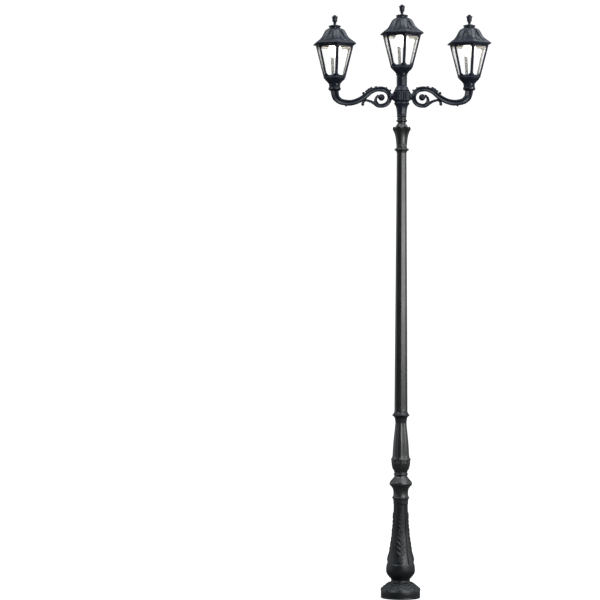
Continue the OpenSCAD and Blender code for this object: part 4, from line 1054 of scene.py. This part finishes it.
def makeCup():
    # round sleeve, arched flare, rolled bead and six sided rim
    t = np.linspace(0, 1, 26)
    flare = np.stack([38.6 + 26.4 * t**1.3, 15 + 29 * t], 1)
    turned = np.vstack([[[31.2, 0.3], [33.5, 0.2], [34.4, 1.2]], bead(35, 1.4, 6, 3.2), cup["sleeve"], flare,
                        bead(64.2, 44.6, 4.6, 2.4)])
    hexShare = np.concatenate([np.zeros(len(turned)), cup["rimHex"]])

    def relief(angle, z, r):
        # double outlined arches with hollow middles, and a point between each two
        across = np.radians(around(angle, cup["arches"])) * r
        half = np.pi * r / cup["arches"]
        width, centre = 0.72 * half, cup["archRise"]
        away = np.where(z < centre, np.abs(across) - width, np.hypot(across, (z - centre) * 1.35) - width)
        lines = cup["archRelief"] * ridge(away, 0.9) + 0.9 * ridge(away + 3.0, 0.8) - 0.9 * ease(-away, 4, 7)
        point = 1.1 * ease(away, 2, 4) * ridge(half - np.abs(across), 2.2)
        return (lines + point) * band(z, 15.5, 18, 43.4, 44.4)

    return casting(np.vstack([turned, cup["rim"]]), [[30.3, 0.3], [30.3, 42], [8, 42.1]], 336, relief, hexShare)


def makeCage():
    # six frames between the corner lines: the opening's outline is carried out to the edge of its face in steps,
    # and in to the back; neighbours share their corner lines
    c, cosLean = lantern, math.cos(lean)

    def corner(z):
        # radius of the corner lines at a height
        return c["sillR"] + (c["railR"] - c["sillR"]) * (z - c["sillZ"]) / (c["railZ"] - c["sillZ"])

    def outlineOf(z0, z1, inset):
        # corners of the face between two heights, anticlockwise from the lower left
        x0, x1 = corner(z0) / 2 - inset, corner(z1) / 2 - inset
        return np.array([(-x0, z0), (x0, z0), (x1, z1), (-x1, z1)])

    def toward(p, q):
        # direction from p to q
        return (q - p) / np.linalg.norm(q - p)

    posts = outlineOf(c["sillZ"] + c["lowRail"] * cosLean, c["railZ"] - c["topRail"] * cosLean, c["barW"])
    edges = outlineOf(c["sillZ"], c["railZ"], 0)
    # each corner boss is a step in from both sides and a quarter round that bulges into the opening
    arc = np.radians(np.linspace(0, 90, 9))[:, None]
    r, step, nook, reach, count = c["boss"], 1.6, 1.3, 1.6 * c["boss"], 14
    inner, outer, stretch = [], [], []
    for k in range(4):
        p, q, o, oNext = posts[k], posts[(k + 1) % 4], edges[k], edges[(k + 1) % 4]
        inWay, outWay = toward(p, posts[k - 1]), toward(p, q)
        edgeIn, edgeOut = toward(o, edges[k - 1]), toward(o, oNext)
        first, last = p + (r + step) * inWay, p + (r + step) * outWay
        ring = p + r * (np.cos(arc) * inWay + np.sin(arc) * outWay)
        boss = np.vstack([first, first + nook * outWay, p + r * inWay + nook * outWay, ring[1:-1],
                          p + r * outWay + nook * inWay, last + nook * inWay, last])
        span = np.linspace(-1, 1, len(boss))[:, None]
        t = np.linspace(0, 1, count + 2)[1:-1, None]
        inner += [boss, last + (q + (r + step) * toward(q, p) - last) * t]
        start, end = o + edgeOut * reach, oNext - edgeOut * reach
        outer += [o + np.where(span < 0, -span * reach * edgeIn, span * reach * edgeOut), start + (end - start) * t]
        stretch += [np.full(len(span), -1), np.full(count, k)]
    inner, outer, stretch = np.vstack(inner), np.vstack(outer), np.concatenate(stretch)
    low = np.clip((c["sillZ"] + 30 - inner[:, 1]) / 16, 0, 1) * (stretch == 0)
    # share of the way from the opening to the edge, depth behind the face there, and the depth along the sill
    steps = [(0.0, 1.5, 4.4), (0.18, 1.5, 3.8), (0.26, 0.3, 3.2), (0.62, 0.0, 1.2), (0.7, 0.7, 1.0),
             (0.8, 0.7, 0.8), (0.88, 0.0, 0.0), (1.0, 0.0, 0.0)]

    def facePoints(flat, inset):
        # [x, z] on the face and depth behind it, as points on the first face (its middle at 30 degrees)
        apothem = corner(flat[:, 1]) * math.cos(math.pi / 6) - inset * np.ones(len(flat)) / cosLean
        atEdge = np.abs(flat[:, 0]) > corner(flat[:, 1]) / 2 - 0.01
        x = np.where(atEdge, np.sign(flat[:, 0]) * apothem * math.tan(math.pi / 6), flat[:, 0])
        return turn(np.stack([apothem, x, flat[:, 1]], 1), 30)

    front = np.array([facePoints(inner, c["barT"])]
                     + [facePoints(inner + (outer - inner) * share, depth + (lowDepth - depth) * low)
                        for share, depth, lowDepth in steps])
    back = np.array([facePoints(outer, c["barT"]), facePoints(inner, c["barT"])])
    # sheets run outwards from the opening, so the faces are turned to point away from the lantern
    onEdge = [np.abs(outer[:, 1] - z) < 0.01 for z in (c["sillZ"], c["railZ"])]
    keep = np.any([on & np.roll(on, -1) for on in onEdge], axis=0)
    rim = grid(np.array([front[-1], back[0]]))
    face = flipped(merge(grid(front), grid(back), (rim[0], rim[1][keep], rim[2])))
    cage = weld(merge(*[placed(face, 60 * k) for k in range(6)]))
    # pad under the lock screw and hinge lugs
    pad = casting([[5.9, 0], [6.5, 0.6], [6.5, 5.2], [6.2, 5.5]], bore(0, 5.5, 3), 32)
    extras = [placed(pad, 0, polar(c["lockA"] - 1, c["lock"], c["railZ"] - 5.5))]
    for s in (-1, 1):
        shift = s * (c["lugW"] + c["cageLug"] + 2 * c["lugGap"]) / 2
        web = block((c["pinA"] - 10, shift - 5, c["pinZ"] - 5.3), (c["pinA"] - 2.9, shift + 5, c["pinZ"] + 0.2))
        extras += [knuckle(c["cageLug"], 2.7, shift), placed(web, c["hinge"])]
    return merge(cage, *extras)


# the form goes from the eave to the top ring; the rest is the relief of each kind of line
roof = {"eaveZ": 273.0, "eaveR": 150, "height": 107, "topR": 47, "wall": 6, "bossZ": 344.3, "border": 17.0,
        "petal": 3.2, "outline": 2.4, "groove": 2.6, "spade": 2.2, "hip": 0.9, "rope": 1.7, "ropePitch": 9.0,
        "form": [[0.985, 0.075], [0.94, 0.105], [0.903, 0.14], [0.76, 0.2], [0.641, 0.271], [0.56, 0.335],
                 [0.495, 0.402], [0.42, 0.48], [0.379, 0.545], [0.34, 0.61], [0.3, 0.677], [0.262, 0.745],
                 [0.218, 0.812], [0.165, 0.88], [0.107, 0.938], [0.045, 0.977], [0, 0.99]]}


def roofRelief(angle, z, r):
    # petals on the hips with double outlines, a ridged spade between two petals, and a rope border
    low, high = roof["border"], roof["height"]
    off = np.radians(around(angle, 6, 30))
    flatR = r * np.cos(off)
    x = np.abs(flatR * np.tan(off))
    up = z - roof["eaveZ"]
    t = np.clip((up - low) / (high - 12 - low), 0, 1)
    d = x - (3.5 + 26 * (1 - t) ** 1.7)
    petal = (roof["petal"] * ease(d, -0.9, 0.9) + roof["outline"] * ridge(d - 2.8, 1.9)
             - roof["groove"] * ridge(d - 6.6, 1.5))
    spade = roof["spade"] * ridge(x, 1.6) * ease(-d, 0, 3) + 1.2 * ridge(d + 4, 1.2) * ease(0.5 - t, 0, 0.2)
    hip = roof["hip"] * ridge(flatR * math.tan(math.pi / 6) - x, 1.5)
    twist = np.abs(np.cos(np.pi * (x - 0.8 * (up - 12)) / roof["ropePitch"]))
    return ((petal + spade + hip) * band(up, low, low + 3, high - 14, high - 5)
            + roof["rope"] * twist * band(up, 8.4, 10, 15.2, 16.8))


def makeRoof():
    # the section's rows carried round Z, six sided where they say so, with the relief on the slope alone
    r, e, top, seat = roof, roof["eaveZ"], roof["height"], lantern["lockSeat"]
    slope = evenly(curve(shares(r["form"], r["topR"], r["eaveR"], 0, top), 8), 1.6)
    under = slope[::-6][2:-2] - [r["wall"], r["wall"] / 2]
    bossZ = r["bossZ"] - e
    # stretches of the section, each with how far its rows are six sided
    section = [
        ([[127, 0], [150.8, 0], [151.8, 0.4], [152.2, 1.4], [152.2, 5.8], [151.7, 6.8], [150.4, 7.4]], np.ones(7)),
        (slope, 1 - 0.35 * ease(slope[:, 1], top - 14, top - 2)),
        ([[41, top - 0.6], [33, top - 0.2], [32, top + 0.4], [32, top + 8.4], [31.4, top + 9], [6.4, top + 9],
          [6, top + 8.4]], [0.3, 0, 0, 0, 0, 0, 0]),
        ([[6, bossZ + 0.5], [6.5, bossZ], [19, bossZ], [20, bossZ + 1], [20, top - 8], [38, top - 8]],
         [0, 0, 0, 0, 0, 0.8]),
        (under, np.ones(len(under))),
        ([[under[-1][0] + 2, 4], [126.6, 4], [126, 3.4], [126, 0.6], [126.5, 0]], np.ones(5))]
    outer = np.vstack([rows for rows, _ in section]) + [0, e]
    hexShare = np.concatenate([share for _, share in section])
    onSlope = np.concatenate([np.full(len(rows), rows is slope, float) for rows, _ in section])[:, None]
    points = ringOf(outer, 480, lambda a, z, rad: roofRelief(a, z, rad) * onSlope, hexShare)
    # flat pocket for the lock screw's boss
    lockPlace = polar(lantern["lockA"], lantern["lock"])
    near = 1 - ease(np.linalg.norm(points[..., :2] - lockPlace[:2], axis=-1), 8.6, 9.6)
    points[..., 2] -= near * np.maximum(points[..., 2] - seat + 1.2, 0) * onSlope
    boss = casting([[8, e + 5], [8.5, e + 6], [8.5, seat - 0.6], [8, seat]], bore(e + 5, seat, 2.8), 40)
    web = block((lantern["pinA"] - 4.5, -19, lantern["pinZ"] + 2.6), (lantern["pinA"] + 5.3, 19, e + 2))
    return merge(grid(points, wrapRows=True), placed(boss, 0, lockPlace), knuckle(lantern["lugW"], 2.8),
                 placed(web, lantern["hinge"]))


cap = {"z": roof["eaveZ"] + roof["height"], "drumR": 36, "roll": 4.5, "stepRelief": 0.35,
       "dome": [[34.6, 19.3], [29, 21.2], [22, 22.8], [14, 24], [10.4, 24.7]]}


def makeCap():
    # drum with a rolled rim and a stepped dome
    z, r = cap["z"], cap["drumR"]
    outer = np.vstack([[[r - 0.6, 0.2], [r, 0.8], [r, 9.2], [r - 0.2, 9.8]], bead(r, 10, 8.8, cap["roll"], 15),
                       curve(cap["dome"], 4), [[9.4, 25]]])
    inner = np.array([[32.3, 0.2], [32.3, 10], [4.3, 10.1], [4.3, 25]])

    def relief(angle, height, r):
        # faint steps round the dome
        return cap["stepRelief"] * np.cos((r - 14) * 1.1) * ease(height - z, 19, 20)

    return casting(outer + [0, z], inner + [0, z], 144, relief)


# outer and inner are the petals' radius and share of their height
finial = {"z": cap["z"] + 25, "petals": 5, "neck": [[10, 0.6], [8.6, 2.4], [8.4, 6], [8.6, 8]],
          "outer": [[10.4, 0], [13.4, 0.02], [15.2, 0.09], [16.2, 0.2], [16.8, 0.38], [17.3, 0.58], [18.0, 0.76],
                    [19.2, 0.88], [21.0, 0.965], [21.4, 1.0]],
          "inner": [[12, 0], [14.8, 0.3], [15.6, 0.7], [17.4, 0.94], [17.8, 1.0]],
          "dome": [[11, 42], [13.2, 50], [13.2, 53.6], [12.7, 54.2]]}


def makeFinial():
    # turned neck and ring, a cup of broad petals with curled tips, an inner row and a domed top
    count = 150
    stem = np.vstack([[[4, -12], [4, -0.1], [10.4, 0]], curve(finial["neck"], 3), bead(8.8, 8.6, 4.0, 2.9),
                      bead(8.8, 13.2, 2.6, 1.6, 7), [[9.6, 17]]])

    def petals(form, low, tip, start, notch):
        # rows climb from low to a rounded tip over each petal; the gaps between are V shaped
        rise, a = curve(form, 4), circle(count)
        off = np.abs(around(a, finial["petals"], start)) / (180 / finial["petals"])
        u = rise[:, 1:2]
        swell = rise[:, :1] * (1 - 0.05 * off**2 * ease(u, 0.1, 0.5) - 0.1 * off**4 * ease(u, 0.7, 1))
        swell = (swell - 0.9 * ridge((1 - off) * 9, 1.3) * ease(u, 0.05, 0.3)
                 + 0.4 * ridge(off * 9, 1.2) * (1 - ease(u, 0.85, 1)))
        h = low + u * (tip - notch * off**3.4 - low)
        back = [sheet(swell[-1:] - inset, a, h[-1:] - drop)
                for inset, drop in ((0.7, -0.5), (1.8, -0.2), (3.2, 2.0), (5.5, 7.0))]
        return np.concatenate([sheet(swell, a, h), *back, sheet(9, a, low + 18)])

    cupSheet = np.concatenate([ringOf(stem, count), petals(finial["outer"], 18, 54, -84, 12)])
    dome = np.vstack([finial["dome"], arcLine(12.6, 10.2, 0, np.pi / 2, 14)[:-1] + [0, 54.8]])
    whole = merge(grid(cupSheet, caps=True), grid(petals(finial["inner"], 28, 52.5, -48, 14), caps=True),
                  lathe(dome, 60))
    return placed(whole, 0, (0, 0, finial["z"]))


def makeScrews():
    # three socket screws through the cap's drum, and the domed lock screw
    long = lantern["lockSeat"] - lantern["lockEnd"]
    dome = np.vstack([[[2.2, -long], [2.5, 0.3 - long], [2.5, -0.05]], arcLine(7, 5, 0, np.pi / 2, 10)[:-1]])
    lock = placed(lathe(dome, 36), 0, polar(lantern["lockA"], lantern["lock"], lantern["lockSeat"]))
    drum = [aimed(socketScrew(2.2, 3.6, 2, 8), polar(cap["drumR"], 120 * k, cap["z"] + 5), polar(1, 120 * k))
            for k in range(3)]
    return merge(*drum, lock)


# white tray under the roof: heights over the eave, and which rows are six sided
tray = {"z": roof["eaveZ"], "hex": [1, 1, 1, 1, 0, 0, 0, 0, 1, 1, 1],
        "section": [[130, 4.3], [130, 6.3], [118.3, 6.4], [50, 21], [22.6, 21.1], [22, 20.6], [22, 19.4],
                    [22.6, 19], [48, 19], [116.6, 4.7], [118, 4.3]]}


def makeTray():
    # six sided tray with a round hole for the lampholder
    profile = np.array(tray["section"]) + [0, tray["z"]]
    return grid(ringOf(profile, 96, None, tray["hex"]), wrapRows=True)


holder = {"z": 295.3, "radius": 21, "ribs": 24, "ribRelief": 0.35}


def makeHolder():
    # flange, ribbed skirt and a shoulder, bored for the lamp cap
    z, r = holder["z"], holder["radius"]
    outer = np.vstack([[[24.2, 0], [25, 0.7], [25, 2.4], [24.2, 3], [21.4, 3.4]], split([[r, 4], [r, 36]], 2.0),
                       curve([[20.6, 37.4], [18.4, 41], [16.4, 47], [15.6, 48.8]], 3)])
    inner = np.array([[14.6, 0], [13.8, 1], [13.8, 34], [3, 34.1], [3, 48.8]])

    def relief(angle, height, r):
        # upright ribs round the skirt
        return holder["ribRelief"] * np.cos(holder["ribs"] * angle) * band(height - z, 6, 9, 32, 35)

    return casting(outer + [0, z], inner + [0, z], 144, relief)


lamp = {"globeR": 47.5, "globeZ": 234.3, "capZ": 298.3, "threadR": 13.2, "pitch": 3.629, "threadRelief": 0.48,
        "neck": [[19.5, 281.0], [16.2, 285.3], [14.7, 290.3], [13.4, 294.5], [12.6, 298.3]],
        "contact": [[4.5, 325.4], [4.4, 326.3], [3.8, 327.5], [2.6, 328.1], [1.2, 328.3]]}


def makeLampCap():
    # rolled thread: the radius follows one wave a turn and one a pitch
    z, r = lamp["capZ"], lamp["threadR"]
    outer = np.vstack([[[r - 1.4, 0], [r - 0.5, 0.6]], split([[r - 0.5, 1.2], [r - 0.5, 20.5]], 0.45),
                       [[r - 1.2, 22], [9, 24.4], [5.6, 26.4], [4.8, 26.95]]])

    def relief(angle, height, radius):
        wave = np.cos(tau * (height - z) / lamp["pitch"] - angle)
        return lamp["threadRelief"] * wave * band(height - z, 2, 4, 18, 20)

    return lathe(outer + [0, z], 72, relief)


def makeGlobe():
    # ball, then the neck down to the cap
    ballLine = arcLine(lamp["globeR"], lamp["globeR"], -np.pi / 2, np.radians(60), 44)[1:] + [0, lamp["globeZ"]]
    neck = curve([ballLine[-1], *lamp["neck"]], 5)
    return lathe(np.vstack([ballLine, neck[1:]]), 80)


# piece, shape, finish, CAD node, slot, body
lanternPieces = [
    ("lantern_cup", makeCup(), headCoat, "cup", "coat_head", "root"),
    ("lantern_cage", makeCage(), cageCoat, "cage", "coat_head", "root"),
    ("roof_shell", makeRoof(), headCoat, "roof", "coat_head", "roof"),
    ("roof_cap", makeCap(), headCoat, "cap", "coat_head", "roof"),
    ("roof_finial", makeFinial(), headCoat, "finial", "coat_head", "roof"),
    ("roof_socket_screws", makeScrews(), stainless, "roof_screws", "stainless", "roof"),
    ("roof_tray", makeTray(), trayWhite, "reflector", "tray_white", "roof"),
    ("roof_holder", makeHolder(), holderCeramic, "lampholder", "holder_ceramic", "roof"),
    ("lamp_thread", makeLampCap(), lampNickel, "bulb_cap", "lamp_metal", "lamp"),
    ("lamp_globe", makeGlobe(), opalLamp, "bulb_globe", "lamp_glass", "lamp"),
    ("lamp_contact", lathe(lamp["contact"], 32), contactBrass, "bulb_contact", "contact_brass", "lamp_lift")]
for side in sides:
    for name, patch, material, node, slot, body in lanternPieces:
        addPiece(f"{name}_{side}", atLantern(patch, side), material, f"{node}_{side}",
                 body if body == "root" else f"{body}_{side}")
print("lanterns made")

# screws of the cover, the head's stem, the arms' collars and the lanterns' sleeves
screws = {"coverAngle": 29.5, "coverR": 91.6, "coverUp": 104, "stemR": 31, "stemUp": 7, "collarAngle": 28,
          "collarR": 41, "collarDrop": 17, "sleeveR": 36, "sleeveUp": 9, "sleeveTurn": 15}


def screwAt(size, radius, degrees, middle):
    # a screw of a size (shank, head radius, head height, length) at a radius about a middle, pointing out
    out = polar(1, degrees)
    return aimed(socketScrew(*size), out * radius + middle, out)


coverScrews = [screwAt((2.2, 4.5, 3, 6), screws["coverR"], -90 + s * screws["coverAngle"],
                       [0, 0, bell["z"] + screws["coverUp"]]) for s in (-1, 1)]
fixing = [screwAt((2.5, 4, 2.5, 6.4), screws["stemR"], degrees, [0, 0, levelOf["stem"] + screws["stemUp"]])
          for degrees in (-150, -30, 90)]
fixing += [screwAt((3, 4.5, 2.5, 8), screws["collarR"], -90 + s * screws["collarAngle"],
                   [s * post["reach"], 0, post["sideZ"] - screws["collarDrop"]]) for s in (-1, 1)]
sleeve = [atLantern(screwAt((2.5, 4, 2, 5.6), screws["sleeveR"], 120 * k + screws["sleeveTurn"],
                            [0, 0, screws["sleeveUp"]]), side) for side in sides for k in range(3)]
addPiece("cover_socket_screws", merge(*coverScrews), stainless, "cover_screws", "cover")
addPiece("fixing_socket_screws", merge(*fixing), stainless, "fixing_screws")
addPiece("sleeve_socket_screws", merge(*sleeve), stainless, "sleeve_screws")

# nodes that keep their CAD shape
kept = {"base_plate": zincSteel, "core_tube": zincSteel, "centring_bushes": zincSteel, "terminal_box": boxPlastic,
        "roof_hinge_pins": stainless}
for side in sides:
    kept[f"panes_{side}"] = paneGlass
    kept[f"gasket_{side}"] = gasketRubber
for node, material in kept.items():
    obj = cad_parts[node]
    if not obj.material_slots:
        obj.data.materials.append(material)
    for slot in obj.material_slots:
        slot.material = material
print("kept nodes dressed:", len(kept))
